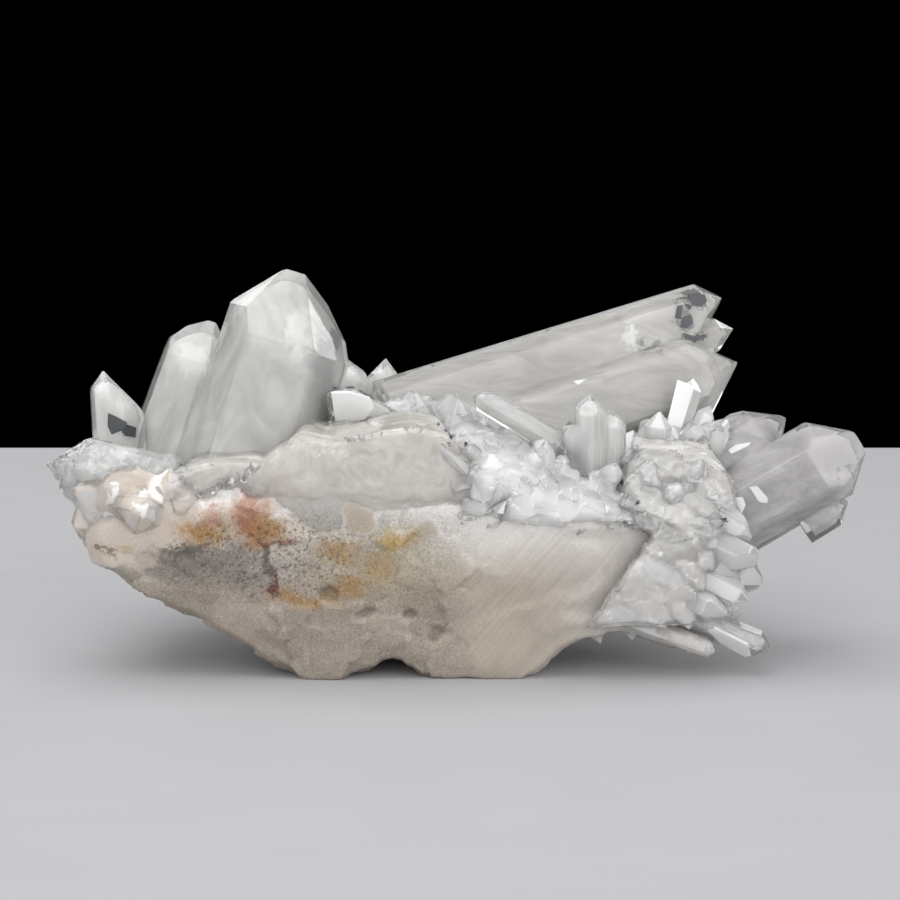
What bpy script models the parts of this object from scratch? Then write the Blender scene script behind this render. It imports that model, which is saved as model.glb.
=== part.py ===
"""Rock crystal cluster, 200 mm long, on its broken base of milky quartz.

The cluster lies as it would on a table: +Z up, +X along its length, the broken face of the
base towards -Y. Every crystal is a convex solid bounded by the faces of the quartz habit, a
six-sided prism under a six-faced point. Crystals that grew into each other are one solid, and
the small ones are fused to the base that they grow from.
"""
import math
import random
from itertools import combinations

import bmesh
import bpy
import numpy as np
from mathutils import Vector, noise

MM = 0.001

# Driving dimensions, in millimetres
GAP = 0.3                # between neighbouring pieces
BASE_LEAN = 2.5          # how far the foot of the broken face lies behind its top
LEAN_HEIGHT = 45.0       # height from which the broken face starts to lean back
LEAN_CURVE = 1.3         # above 1 the face leans back slowly at first
RIGHT_FALLBACK = 13.0    # how far the right end of the broken face lies behind its middle
FALLBACK_X = (28.0, 70.0)  # stretch of x over which it falls back
BASE_FRONT = -27.0       # y of the broken face at its top
BASE_DEPTH = 58.0        # thickness of the base, front to back
BASE_HEART = (-6.0, 27.0)  # x and z that the sections of the base close in on
FOOT_SINK = 2.0          # how much of the two feet is worn off flat
FOOT_HEIGHT = 3.0        # the feet are what lies below this height
FACE_TILT = math.radians(51.8)   # between the long axis and a face of the point
SECTION_POINTS = 76      # corners round each section of the base
GRAIN_STEP = 1.9         # spacing of the points that the roughness moves
BASE_TRIANGLES = 2300    # facets of the base before anything grows on it
SWELLS = (23.0, 1.3)     # roughness of the break: how far apart its bumps lie, and their height
LUMPS = (10.0, 1.0)
CHATTER = (4.6, 0.55)
LEDGE_SIZE = (17.0, 11.0)  # width and height of the plateaus on the broken face
LEDGE_RISE = 1.3         # how far a plateau stands out
LEDGE_EDGE = 0.12        # share of the noise over which a plateau rises to its full height
FACING = 0.6             # a surface turned this far to the front carries plateaus
PIT_CORNERS = 22
RANDOM_SEED = 11

# Limits that the solid modelling works to
SAME_POINT = 0.02        # corners nearer to each other than this are one
SLIVER = 0.004           # edges shorter than this are dropped
FLAT_ANGLE = math.radians(0.4)   # faces that meet at less than this are one
PARALLEL = 0.0001        # three planes with a smaller determinant have no corner
INSIDE = 0.000001        # play when a corner is tested against a plane
ALONG_Y = 0.98           # a crystal that lies along Y this closely takes another reference
NEAR_TABLE = 0.05        # corners lower than this stand on the table

# Outline of the base in its widest section, x and z, from the left end round by the foot
BASE_OUTLINE = [
    (-88, 34), (-86.5, 28), (-82, 26), (-78, 21.5), (-71, 19), (-61, 14), (-51.5, 7.5), (-45, 3.5),
    (-39, 1.5), (-34, 0), (-28, 0), (-23, 1.4), (-17.5, 3.6), (-8, 2.0), (-1, 1.0), (6, 1.4),
    (10.5, 0), (17.5, 0), (21, 1.2), (25.5, 6), (31, 9), (40, 10.5), (49, 10.5), (58, 13),
    (66, 18), (68, 24), (68, 31), (65, 38), (56, 41), (40, 43), (25, 45), (8, 47), (-13, 49),
    (-30, 50), (-48, 49), (-62, 48), (-75, 48), (-83, 44), (-88, 39),
]

# Sections of the base from front to back: depth, then the scale of x, of z below and above
BASE_SECTIONS = [
    (0.0, 0.55, 0.52, 0.45), (0.0, 0.80, 0.78, 0.64), (0.8, 0.94, 0.95, 0.76), (4.0, 0.99, 1.01, 0.84),
    (11.0, 1.0, 1.02, 0.93), (19.0, 1.0, 1.02, 1.02), (27.0, 0.98, 1.02, 1.14), (35.0, 0.93, 1.0, 1.2),
    (43.0, 0.84, 0.92, 1.12), (50.0, 0.68, 0.74, 0.92), (55.0, 0.46, 0.5, 0.62),
    (BASE_DEPTH, 0.22, 0.24, 0.3),
]
# The two feet that stand on the table: their stretches of x, and the y that both reach
FEET_X = ((-37.0, -25.0), (8.5, 19.5))
FEET_Y = (-24.0, 20.0)

# Crystals that stand as pieces of their own. Each has its tip and foot, the width across its
# flats, its turn about the long axis, how far each of its six sides stands out (as a share of
# half the width) and how far each face of the point is set out from the tip.
CRYSTALS = {
    "main_crystals": [
        dict(tip=(-36.0, 4, 92.8), foot=(-54, -5, 34), across=28, turn=30,
             sides=(1.02, 1.0, 1.0, 1.08, 1.0, 0.98), caps=(3.6, 1.0, 4.6, 4.8, 0.4, 0.0), taper=1.5),
        dict(tip=(-60.6, 13, 81.8), foot=(-76, 4, 34), across=18.5, turn=12,
             sides=(1.0, 1.05, 0.95, 1.0, 1.0, 1.0), caps=(1.0, 0.0, 0.6, 2.4, 0.0, 0.8), taper=2.5),
    ],
    "left_point": [
        dict(tip=(-83.2, 2, 70.4), foot=(-81, -2, 40), across=11.6, turn=20,
             sides=(1.0, 0.95, 1.0, 1.05, 1.0, 1.0), caps=(-1.9, -0.8, 1.6, 2.6, 1.4, -0.6), taper=1.0),
    ],
    "left_stub": [
        dict(tip=(-96.6, -19, 50.8), foot=(-68, -9, 42), across=16.5, turn=8,
             sides=(1.0, 1.0, 1.05, 1.0, 1.0, 0.95), caps=(0.4, 2.2, 0.8, 0.0, -0.6, 0.6), taper=3.0),
    ],
    "back_points": [
        dict(tip=(-17.2, 27, 73.0), foot=(-20, 18, 40), across=12.5, turn=5,
             sides=(1.0, 1.0, 1.0, 1.0, 1.0, 1.0), caps=(-1.6, 0.6, -1.4, -1.2, 0.4, -0.6), taper=1.0),
        dict(tip=(-28.0, 25, 71.2), foot=(-22, 18, 42), across=8.6, turn=22,
             sides=(1.0, 1.0, 1.0, 1.0, 1.0, 1.0), caps=(0.0, 0.8, 0.0, 0.5, 0.0, 0.6), taper=1.0),
    ],
    "long_crystals": [
        dict(tip=(69.3, 37, 83.6), foot=(-18, 12, 59), across=13.5, turn=22,
             sides=(1.8, 1.0, 1.0, 1.0, 1.0, 1.7), caps=(0.0, 0.6, 2.2, 1.8, 1.0, -0.6), taper=0.4),
        dict(tip=(73.0, 29, 68.8), foot=(-6, 8, 45), across=19.5, turn=14,
             sides=(1.0, 0.95, 1.25, 1.2, 0.95, 1.0), caps=(0.4, 2.2, 1.0, 0.8, 0.6, -0.6), taper=0.4),
        dict(tip=(72.2, 34, 77.6), foot=(40, 26, 69), across=8.5, turn=35,
             sides=(1.0, 1.0, 0.9, 1.0, 1.0, 0.9), caps=(0.0, 0.6, 0.0, 0.4, 0.5, 0.0), taper=0.4),
    ],
    "slanted_blade": [
        dict(tip=(4.6, -10, 66.5), foot=(31, -9, 50.5), across=6.4, turn=0,
             sides=(1.0, 0.62, 0.62, 1.0, 0.62, 0.62), caps=(0.2, 0.0, 0.4, 0.8, 0.0, 0.2), taper=0.6),
    ],
    "striated_bundle": [
        dict(tip=(32.6, -11, 66.6), foot=(33.5, -10, 38), across=7.4, turn=10,
             sides=(1.0, 1.0, 1.0, 1.0, 1.0, 1.0), caps=(0.0, 0.8, 0.2, 1.2, 0.0, 0.6), taper=0.8),
        dict(tip=(37.6, -9, 62.8), foot=(37.4, -9, 38), across=6.6, turn=25,
             sides=(1.0, 1.0, 1.0, 1.0, 1.0, 1.0), caps=(0.0, 0.6, 0.0, 0.9, 0.0, 0.5), taper=0.8),
        dict(tip=(27.6, -11, 60.5), foot=(29.6, -10, 38), across=5.8, turn=40,
             sides=(1.0, 1.0, 1.0, 1.0, 1.0, 1.0), caps=(0.0, 0.6, 0.0, 0.9, 0.0, 0.5), taper=0.8),
    ],
    "right_crystals": [
        dict(tip=(83.0, 9, 58.5), foot=(46, 2, 33), across=15.5, turn=18,
             sides=(1.0, 1.0, 1.0, 1.0, 1.0, 1.0), caps=(-0.6, 0.8, -1.0, 0.6, 0.4, 0.0), taper=0.5),
        dict(tip=(99.6, -6, 51.0), foot=(54, -1, 22), across=19.0, turn=24,
             sides=(0.62, 1.0, 1.32, 1.36, 1.0, 0.62), caps=(0.0, 0.4, 4.6, 5.2, 0.6, 0.0), taper=0.3),
        dict(tip=(96.8, -4, 39.8), foot=(85.5, -3, 32.4), across=7.4, turn=8,
             sides=(1.0, 1.0, 1.0, 1.0, 1.0, 1.0), caps=(-0.5, 0.6, -0.8, 0.6, 0.3, 0.0), taper=0.3),
    ],
    "finger_crystal": [
        dict(tip=(77.2, -21, 5.8), foot=(48, -16, 16.8), across=6.4, turn=15,
             sides=(1.0, 0.9, 0.95, 1.0, 0.9, 0.95), caps=(-1.2, -0.9, -1.1, -0.8, -1.0, -0.9), taper=0.8),
    ],
    "notch_crystal": [
        dict(tip=(-31.0, -7, 66.5), foot=(-10, 4, 52), across=9.6, turn=12,
             sides=(1.0, 0.8, 1.0, 1.0, 0.8, 1.0), caps=(0.0, 0.6, 0.0, 0.8, 0.0, 0.4), taper=0.6),
    ],
}

# Crystals of the side that faces away from the broken face, each group grown into one solid
CRYSTALS.update({
    "rear_left_crystals": [
        dict(tip=(-70, 47, 60), foot=(-58, 16, 34), across=15, turn=10,
             sides=(1.0, 1.0, 1.0, 1.0, 1.0, 1.0), caps=(0.0, 1.4, 0.0, 1.0, 0.0, 2.0), taper=1.0),
        dict(tip=(-50, 52, 54), foot=(-46, 18, 34), across=12, turn=24,
             sides=(1.0, 0.9, 1.0, 1.0, 0.9, 1.0), caps=(0.6, 0.0, 1.0, 0.0, 1.4, 0.0), taper=1.0),
        dict(tip=(-88, 34, 46), foot=(-66, 14, 30), across=11, turn=2,
             sides=(1.0, 1.0, 1.0, 1.0, 1.0, 1.0), caps=(0.0, 1.0, 0.0, 1.2, 0.0, 0.6), taper=1.0),
    ],
    "rear_middle_crystals": [
        dict(tip=(-16, 60, 52), foot=(-16, 20, 30), across=14, turn=14,
             sides=(1.0, 1.0, 0.9, 1.0, 1.0, 0.9), caps=(0.0, 1.6, 0.0, 1.0, 0.4, 0.0), taper=1.0),
        dict(tip=(-1, 54, 61), foot=(-8, 18, 38), across=10.5, turn=28,
             sides=(1.0, 1.0, 1.0, 1.0, 1.0, 1.0), caps=(0.0, 0.8, 0.0, 1.0, 0.0, 1.2), taper=1.0),
        dict(tip=(-29, 56, 36), foot=(-20, 20, 26), across=10, turn=6,
             sides=(1.0, 1.0, 1.0, 1.0, 1.0, 1.0), caps=(0.0, 0.8, 0.0, 1.0, 0.0, 0.6), taper=1.0),
    ],
    "rear_right_crystals": [
        dict(tip=(36, 61, 45), foot=(24, 16, 30), across=15, turn=20,
             sides=(1.0, 0.95, 1.0, 1.0, 0.95, 1.0), caps=(0.8, 0.0, 1.6, 0.0, 1.2, 0.0), taper=1.0),
        dict(tip=(55, 52, 34), foot=(34, 14, 26), across=12, turn=4,
             sides=(1.0, 1.0, 1.0, 1.0, 1.0, 1.0), caps=(0.0, 1.0, 0.0, 1.2, 0.0, 0.8), taper=1.0),
        dict(tip=(20, 58, 30), foot=(18, 18, 26), across=9.5, turn=16,
             sides=(1.0, 1.0, 1.0, 1.0, 1.0, 1.0), caps=(0.0, 0.8, 0.0, 1.0, 0.0, 0.6), taper=1.0),
    ],
})

# Small crystals and stumps fused to the base: tip, foot and width across the flats
LARGE_STUMPS = [
    ((-14, -27, 57), (-12, 4, 36), 30), ((-36, -26, 54), (-34, 2, 38), 22),
    ((4, -22, 55), (4, 4, 36), 17), ((-50, -26, 50), (-48, -4, 36), 15), ((2, -4, 66), (0, 8, 44), 17),
    ((14, -4, 63), (8, 8, 44), 12), ((-9, 0, 66), (-8, 8, 44), 12), ((-24, -6, 62), (-22, 6, 44), 12),
    ((-29, -9, 60), (-31, 2, 42), 12), ((44, 3, 57), (40, 3, 38), 11), ((53, 5, 58), (47, 5, 38), 11.5),
    ((61, 6, 57), (52, 5, 36), 10.5), ((67, 8, 57.5), (56, 6, 36), 9), ((-29, 6, 63), (-30, 8, 44), 9),
    ((55, 12, 60), (52, 8, 40), 10),
]
LEFT_LUMPS = [
    ((-90, -24, 44), (-70, -10, 38), 17), ((-80, -29, 49), (-72, -6, 36), 15),
    ((-66, -29, 46), (-64, -4, 34), 15), ((-88, -20, 33), (-72, -8, 34), 13),
]
RIGHT_RIBS = [
    ((71.9, -18, 32), (50, -12, 44), 8.6), ((72.9, -21, 27), (48, -14, 38), 8.2),
    ((73.8, -16, 21.5), (46, -12, 34), 9.2), ((74.4, -11, 20), (46, -8, 32), 9),
    ((69.9, -23, 18.5), (44, -16, 30), 8.4), ((64.4, -25, 15.5), (42, -16, 26), 7.6),
    ((68.4, -2, 16), (44, -2, 28), 10), ((62.4, -27, 30), (44, -18, 38), 8),
    ((56.4, -28, 22), (38, -20, 30), 9), ((66.4, -23, 41), (48, -14, 44), 8),
]
UNDER_NUBS = [
    ((62, -23, 6.6), (40, -20, 14), 4.6), ((54, -20, 7.4), (36, -16, 14), 4.4),
    ((35, -22, 7.6), (31, -18, 16), 4.6), ((43, -21, 8.6), (41, -18, 16), 4.2),
    ((66, -16, 8.6), (46, -14, 18), 5.2), ((70, -10, 12), (50, -10, 20), 5.8),
]
DRUSE_PATCHES = [
    # centre, spread, heading of the tips, count, shortest and longest, narrowest and widest
    ((14, -14, 44), (10, 6, 3), (0.1, -0.45, 1.0), 11, (6, 12), (4.6, 7.4)),
    ((28, -17, 42), (8, 5, 3), (0.25, -0.55, 1.0), 10, (6, 10), (4.4, 6.8)),
    ((44, -13, 41), (9, 6, 3), (0.5, -0.35, 0.9), 12, (7, 12), (4.6, 7.8)),
    ((58, -10, 40), (6, 5, 3), (0.7, -0.3, 0.7), 7, (7, 11), (4.6, 7.0)),
    ((-47, -19, 43), (4, 2, 2), (0.3, -0.4, 1.0), 4, (6, 9), (4.0, 6.0)),
    ((-42, 26, 46), (15, 7, 3), (-0.1, 0.5, 1.0), 7, (8, 13), (6.5, 10)),
    ((2, 27, 46), (14, 7, 3), (0.0, 0.5, 1.0), 6, (8, 13), (6.5, 10)),
    ((44, 24, 40), (13, 8, 4), (0.4, 0.5, 0.8), 7, (8, 13), (6.5, 9.5)),
    ((-74, 14, 40), (6, 8, 4), (-0.6, 0.5, 0.7), 5, (7, 11), (5.5, 8.5)),
]
# Chance in the shape of the stumps: how far each face of the point is set out and how far each
# side stands out, both as shares of the width, and the taper in degrees
STUMP_CAPS, STUMP_SIDES, STUMP_TAPER = (-0.10, 0.12), (0.84, 1.08), (1, 4)
# The same for the druse, with its caps in millimetres, then the scatter of its headings and how
# deep it is rooted
DRUSE_CAPS, DRUSE_SIDES, DRUSE_TAPER = (-0.3, 0.6), (0.8, 1.1), (0.5, 2.5)
DRUSE_SCATTER, DRUSE_ROOT = 0.38, 3.0
# Pits in the broken face: centre and radius
PITS = [
    ((-21.1, -22.5, 16.6), 2.4), ((-11.2, -22.5, 15.9), 2.0), ((-4.4, -20.5, 11.7), 2.6),
    ((-82.8, -21, 32.4), 2.2), ((-75.7, -23.5, 32.2), 2.4), ((-30, -22.5, 21), 1.8),
]

COLOURS = {
    "matrix": (0.62, 0.58, 0.53), "crystal": (0.78, 0.79, 0.77),
}
ROUGHNESS = {"matrix": 0.55, "crystal": 0.08}


def clear_scene():
    for old in list(bpy.data.objects):
        bpy.data.objects.remove(old, do_unlink=True)


def make_material(name, kind):
    material = bpy.data.materials.new(name)
    material.use_nodes = True
    shader = material.node_tree.nodes["Principled BSDF"]
    shader.inputs["Base Color"].default_value = (*COLOURS[kind], 1.0)
    shader.inputs["Roughness"].default_value = ROUGHNESS[kind]
    shader.inputs["Metallic"].default_value = 0.0
    if kind == "crystal":
        shader.inputs["Transmission Weight"].default_value = 0.7
        shader.inputs["IOR"].default_value = 1.544
    return material


def crystal_planes(tip, foot, across, turn=0.0, sides=(1.0,) * 6, caps=(0.0,) * 6, taper=0.0, swell=0.0):
    """The faces of one quartz crystal as pairs of outward normal and distance, in millimetres.

    Six prism faces stand round the line from foot to tip, six more close in on the tip at the
    angle of the quartz point, and one face cuts the foot off square. Swell moves all outwards.
    """
    tip, foot = Vector(tip), Vector(foot)
    axis = (tip - foot).normalized()
    side = axis.orthogonal().normalized()
    if abs(axis.y) < ALONG_Y:
        side = (Vector((0, 1, 0)).cross(axis)).normalized()
    front = axis.cross(side)
    middle = (tip + foot) / 2
    lean = math.radians(taper)
    planes = [(-axis, -axis.dot(foot) + swell)]
    for k in range(6):
        angle = math.radians(turn + 60 * k)
        outward = side * math.cos(angle) + front * math.sin(angle)
        prism = outward * math.cos(lean) + axis * math.sin(lean)
        planes.append((prism, prism.dot(middle + outward * across / 2 * sides[k]) + swell))
        point = outward * math.sin(FACE_TILT) + axis * math.cos(FACE_TILT)
        planes.append((point, point.dot(tip) + caps[k] + swell))
    return planes


def corners_of(planes):
    """The corners of the convex solid that lies inside every plane."""
    normals = np.array([tuple(normal) for normal, _ in planes])
    distances = np.array([distance for _, distance in planes])
    corners = []
    for trio in combinations(range(len(planes)), 3):
        rows = normals[list(trio)]
        if abs(np.linalg.det(rows)) < PARALLEL:
            continue
        corner = np.linalg.solve(rows, distances[list(trio)])
        if np.all(normals @ corner <= distances + INSIDE):
            corners.append(corner)
    return corners


def hull_object(name, corners):
    """A closed convex object through the given corners, in millimetres."""
    mesh = bpy.data.meshes.new(name)
    bm = bmesh.new()
    for corner in corners:
        bm.verts.new(Vector(corner) * MM)
    bmesh.ops.remove_doubles(bm, verts=bm.verts, dist=SAME_POINT * MM)
    bmesh.ops.convex_hull(bm, input=bm.verts)
    loose = [vert for vert in bm.verts if not vert.link_faces]
    bmesh.ops.delete(bm, geom=loose, context="VERTS")
    bmesh.ops.dissolve_limit(bm, angle_limit=FLAT_ANGLE, verts=bm.verts, edges=bm.edges)
    bmesh.ops.recalc_face_normals(bm, faces=bm.faces)
    bm.to_mesh(mesh)
    bm.free()
    solid = bpy.data.objects.new(name, mesh)
    bpy.context.collection.objects.link(solid)
    return solid


def crystal_object(name, swell=0.0, **crystal):
    return hull_object(name, corners_of(crystal_planes(swell=swell, **crystal)))


def combine(target, tool, operation):
    """Apply one exact Boolean to the target and remove the tool."""
    modifier = target.modifiers.new("combine", "BOOLEAN")
    modifier.operation = operation
    modifier.solver = "EXACT"
    modifier.object = tool
    graph = bpy.context.evaluated_depsgraph_get()
    result = bpy.data.meshes.new_from_object(target.evaluated_get(graph))
    target.modifiers.remove(modifier)
    old = target.data
    target.data = result
    bpy.data.meshes.remove(old)
    bpy.data.objects.remove(tool, do_unlink=True)


def keep_largest_body(solid):
    """Drop the chips that a cut has parted from the main body, and tidy the slivers."""
    bm = bmesh.new()
    bm.from_mesh(solid.data)
    bmesh.ops.dissolve_degenerate(bm, edges=bm.edges, dist=SLIVER * MM)
    bmesh.ops.triangulate(bm, faces=bm.faces)
    unseen = set(bm.faces)
    bodies = []
    while unseen:
        body = {unseen.pop()}
        front = list(body)
        while front:
            for edge in front.pop().edges:
                for face in edge.link_faces:
                    if face in unseen:
                        unseen.discard(face)
                        body.add(face)
                        front.append(face)
        bodies.append(body)
    largest = max(bodies, key=lambda body: sum(face.calc_area() for face in body))
    chips = [face for body in bodies if body is not largest for face in body]
    bmesh.ops.delete(bm, geom=chips, context="FACES")
    bm.to_mesh(solid.data)
    bm.free()


def resample(outline, count):
    """Points at even steps of length along a closed outline."""
    corners = [Vector((x, z)) for x, z in outline]
    lengths = [(b - a).length for a, b in zip(corners, corners[1:] + corners[:1])]
    total = sum(lengths)
    points = []
    index, passed = 0, 0.0
    for step in range(count):
        goal = total * step / count
        while passed + lengths[index] < goal:
            passed += lengths[index]
            index += 1
        start, end = corners[index], corners[(index + 1) % len(corners)]
        points.append(start.lerp(end, (goal - passed) / lengths[index]))
    return points


def on_a_foot(x, z):
    return z < FOOT_HEIGHT and any(low <= x <= high for low, high in FEET_X)


def ledges(point):
    """Plateaus with steep edges on the broken face, 0 to 1."""
    wide, high = LEDGE_SIZE
    field = noise.noise(Vector((point.x / wide, 3.1, point.z / high)))
    return min(1.0, max(0.0, field / LEDGE_EDGE + 0.5))


def rough(point, normal):
    """The broken surface: broad lumps, smaller ones, a fine chatter and ledges, in millimetres."""
    height = 0.0
    for layer, (spacing, rise) in enumerate((SWELLS, LUMPS, CHATTER)):
        height += rise * noise.noise(point / spacing + Vector((7, 3, 1)) * layer)
    if normal.y < -FACING:
        height += LEDGE_RISE * ledges(point)
    return point + normal * height


def set_back(x, height, depth):
    """How far a point of the base lies behind a plain upright front, fading out to the back."""
    start, end = FALLBACK_X
    share = min(1.0, max(0.0, (x - start) / (end - start)))
    fallback = RIGHT_FALLBACK * share * share * (3 - 2 * share)
    lean = BASE_LEAN * max(0.0, 1 - height / LEAN_HEIGHT) ** LEAN_CURVE
    return (lean + fallback) * (1 - depth / BASE_DEPTH)


def applied(solid):
    """Replace an object's mesh by what its modifiers make of it."""
    graph = bpy.context.evaluated_depsgraph_get()
    result = bpy.data.meshes.new_from_object(solid.evaluated_get(graph))
    solid.modifiers.clear()
    old = solid.data
    solid.data = result
    bpy.data.meshes.remove(old)


def smooth_base():
    """The base as sections of one outline, leaning back at the foot, closed at both ends."""
    outline = resample(BASE_OUTLINE, SECTION_POINTS)
    heart_x, heart_z = BASE_HEART
    bm = bmesh.new()
    rings = []
    for depth, wide, low, high in BASE_SECTIONS:
        ring = []
        for x, z in outline:
            tall = high if z > heart_z else low
            across = heart_x + (x - heart_x) * wide
            height = heart_z + (z - heart_z) * tall
            back = BASE_FRONT + depth + set_back(across, height, depth)
            ring.append(bm.verts.new((across, back, height)))
        rings.append(ring)
    for ring, following in zip(rings, rings[1:]):
        for k in range(SECTION_POINTS):
            after = (k + 1) % SECTION_POINTS
            bm.faces.new((ring[k], ring[after], following[after], following[k]))
    bm.faces.new(rings[0])
    bm.faces.new(rings[-1])
    bmesh.ops.recalc_face_normals(bm, faces=bm.faces)
    bmesh.ops.scale(bm, vec=(MM, MM, MM), verts=bm.verts)
    mesh = bpy.data.meshes.new("matrix")
    bm.to_mesh(mesh)
    bm.free()
    base = bpy.data.objects.new("matrix", mesh)
    bpy.context.collection.objects.link(base)
    return base


def base_object():
    """The broken base: an even skin of points, roughened, then reduced to flat facets."""
    base = smooth_base()
    skin = base.modifiers.new("skin", "REMESH")
    skin.mode = "VOXEL"
    skin.voxel_size = GRAIN_STEP * MM
    applied(base)
    mesh = base.data
    moved = [rough(vert.co / MM, vert.normal.copy()) for vert in mesh.vertices]
    for vert, place in zip(mesh.vertices, moved):
        start = vert.co / MM
        if on_a_foot(start.x, start.z) and FEET_Y[0] < start.y < FEET_Y[1]:
            place.z -= FOOT_SINK
        place.z = max(place.z, 0.0)
        vert.co = place * MM
    facets = base.modifiers.new("facets", "DECIMATE")
    facets.ratio = BASE_TRIANGLES / (2 * len(mesh.polygons))
    facets.use_collapse_triangulate = True
    applied(base)
    for vert in base.data.vertices:
        if vert.co.z < NEAR_TABLE * MM:
            vert.co.z = 0.0
    return base


def small_crystals():
    """Every crystal fused to the base, as settings for crystal_object."""
    rng = random.Random(RANDOM_SEED)
    settings = []
    for tip, foot, across in LARGE_STUMPS + LEFT_LUMPS + RIGHT_RIBS + UNDER_NUBS:
        caps = [rng.uniform(*STUMP_CAPS) * across for _ in range(6)]
        sides = [rng.uniform(*STUMP_SIDES) for _ in range(6)]
        settings.append(dict(tip=tip, foot=foot, across=across, turn=rng.uniform(0, 60),
                             sides=sides, caps=caps, taper=rng.uniform(*STUMP_TAPER)))
    for centre, spread, heading, count, length, width in DRUSE_PATCHES:
        for _ in range(count):
            foot = Vector([c + s * rng.uniform(-1, 1) for c, s in zip(centre, spread)])
            aim = Vector([h + rng.gauss(0, DRUSE_SCATTER) for h in heading]).normalized()
            caps = [rng.uniform(*DRUSE_CAPS) for _ in range(6)]
            sides = [rng.uniform(*DRUSE_SIDES) for _ in range(6)]
            settings.append(dict(tip=foot + aim * rng.uniform(*length), foot=foot - aim * DRUSE_ROOT,
                                 across=rng.uniform(*width), turn=rng.uniform(0, 60),
                                 sides=sides, caps=caps, taper=rng.uniform(*DRUSE_TAPER)))
    return settings


def pit_object(centre, radius):
    """A blunt many-sided knob that leaves a pit where it is cut away."""
    rng = random.Random(int(abs(centre[0]) * 10))
    corners = []
    for _ in range(PIT_CORNERS):
        aim = Vector([rng.gauss(0, 1) for _ in range(3)]).normalized()
        corners.append(Vector(centre) + aim * radius * rng.uniform(0.85, 1.15))
    return hull_object("pit_tool", corners)


def centre_on_origin(pieces):
    """Move the whole cluster so that the middle of its box stands on the origin."""
    corners = [vert.co for piece in pieces for vert in piece.data.vertices]
    for axis in range(2):
        low = min(corner[axis] for corner in corners)
        high = max(corner[axis] for corner in corners)
        for piece in pieces:
            piece.location[axis] = -(low + high) / 2


def build():
    clear_scene()
    crystal_finish = {name: make_material(name + "_quartz", "crystal") for name in CRYSTALS}
    base = base_object()
    for crystal in small_crystals():
        combine(base, crystal_object("fused", **crystal), "UNION")
    for centre, radius in PITS:
        combine(base, pit_object(centre, radius), "DIFFERENCE")
    for group in CRYSTALS.values():
        for crystal in group:
            combine(base, crystal_object("socket_tool", swell=GAP, **crystal), "DIFFERENCE")
    keep_largest_body(base)
    base.data.materials.append(make_material("milky_quartz", "matrix"))
    pieces = [base]
    earlier = []
    for name, group in CRYSTALS.items():
        piece = crystal_object(name, **group[0])
        for crystal in group[1:]:
            combine(piece, crystal_object("grown_in", **crystal), "UNION")
        for crystal in earlier:
            combine(piece, crystal_object("clearance_tool", swell=GAP, **crystal), "DIFFERENCE")
        keep_largest_body(piece)
        piece.data.materials.append(crystal_finish[name])
        pieces.append(piece)
        earlier.extend(group)
    centre_on_origin(pieces)


build()
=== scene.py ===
# %% [markdown]
# # A rock crystal cluster on milky quartz
#
# Rock crystal is quartz: silicon dioxide that grew slowly from hot water in an open crack of
# the rock. The far side of this specimen is the open side, where the crystals had room to
# grow into six-sided prisms with six-faced points. The near side is where it broke from the
# wall: dense milky quartz, sugary where it snapped, with iron stains along its cracks.
#
# The lesson goes in this order: the camera and the light, the large crystals with their
# clear skins and milky cores, the broken base, the broken masses and the crust of small
# crystals that stand on it, and last the chips and the painted flashes and dark reflections.

import math
import random
from collections import namedtuple
from itertools import combinations

import bmesh
import bpy
import numpy as np
from mathutils import Matrix, Vector, noise
from mathutils.bvhtree import BVHTree


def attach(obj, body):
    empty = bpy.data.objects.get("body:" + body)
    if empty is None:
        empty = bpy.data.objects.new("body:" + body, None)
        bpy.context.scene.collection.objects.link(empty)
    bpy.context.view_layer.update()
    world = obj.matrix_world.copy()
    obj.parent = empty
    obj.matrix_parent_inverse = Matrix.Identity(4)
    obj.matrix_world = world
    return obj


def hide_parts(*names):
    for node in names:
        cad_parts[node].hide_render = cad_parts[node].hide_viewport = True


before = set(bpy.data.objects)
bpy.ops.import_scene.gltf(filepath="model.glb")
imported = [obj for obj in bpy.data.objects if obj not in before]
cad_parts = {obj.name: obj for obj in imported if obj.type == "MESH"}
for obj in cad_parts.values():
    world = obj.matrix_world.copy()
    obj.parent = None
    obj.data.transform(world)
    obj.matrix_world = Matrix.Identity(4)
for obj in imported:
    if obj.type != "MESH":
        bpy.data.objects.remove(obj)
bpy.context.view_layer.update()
MM = 0.001

# %% [markdown]
# ## Two frames of reference
#
# The cluster is easiest to think about in millimetres round the middle of its base, while
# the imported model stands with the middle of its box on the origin. One shift links the two,
# so every place below is written once, in the specimen's own millimetres.

# %% Between specimen millimetres and scene metres
BOX_SHIFT = Vector((-1.329, -15.437, 0.0))
TO_SPECIMEN = Matrix.Translation(-BOX_SHIFT) @ Matrix.Scale(1 / MM, 4)


def place(point):
    return (Vector(point) + BOX_SHIFT) * MM


# %% [markdown]
# ## The camera
#
# The photograph was taken from low down, so that the crystals rise above the far edge of the
# floor. A longish lens, 85 mm on a full frame, stands half a metre away and looks nine
# degrees down. A wide lens from close by would fill the frame as well, but it would swell
# whatever is near: a long one from further off gives the gentle perspective of the picture.

# %% Set up the camera
LENS = 85.0
SENSOR = 36.0
CAMERA_AIM = Vector((-1.1, 0.0, 51.4))   # where the middle of the picture meets the cluster
CAMERA_DISTANCE = 521.5
CAMERA_FALL = math.radians(9.0)
NEAREST_SEEN = 10.0


def look_at(thing, target):
    thing.rotation_euler = (target - thing.location).to_track_quat("-Z", "Y").to_euler()


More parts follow.
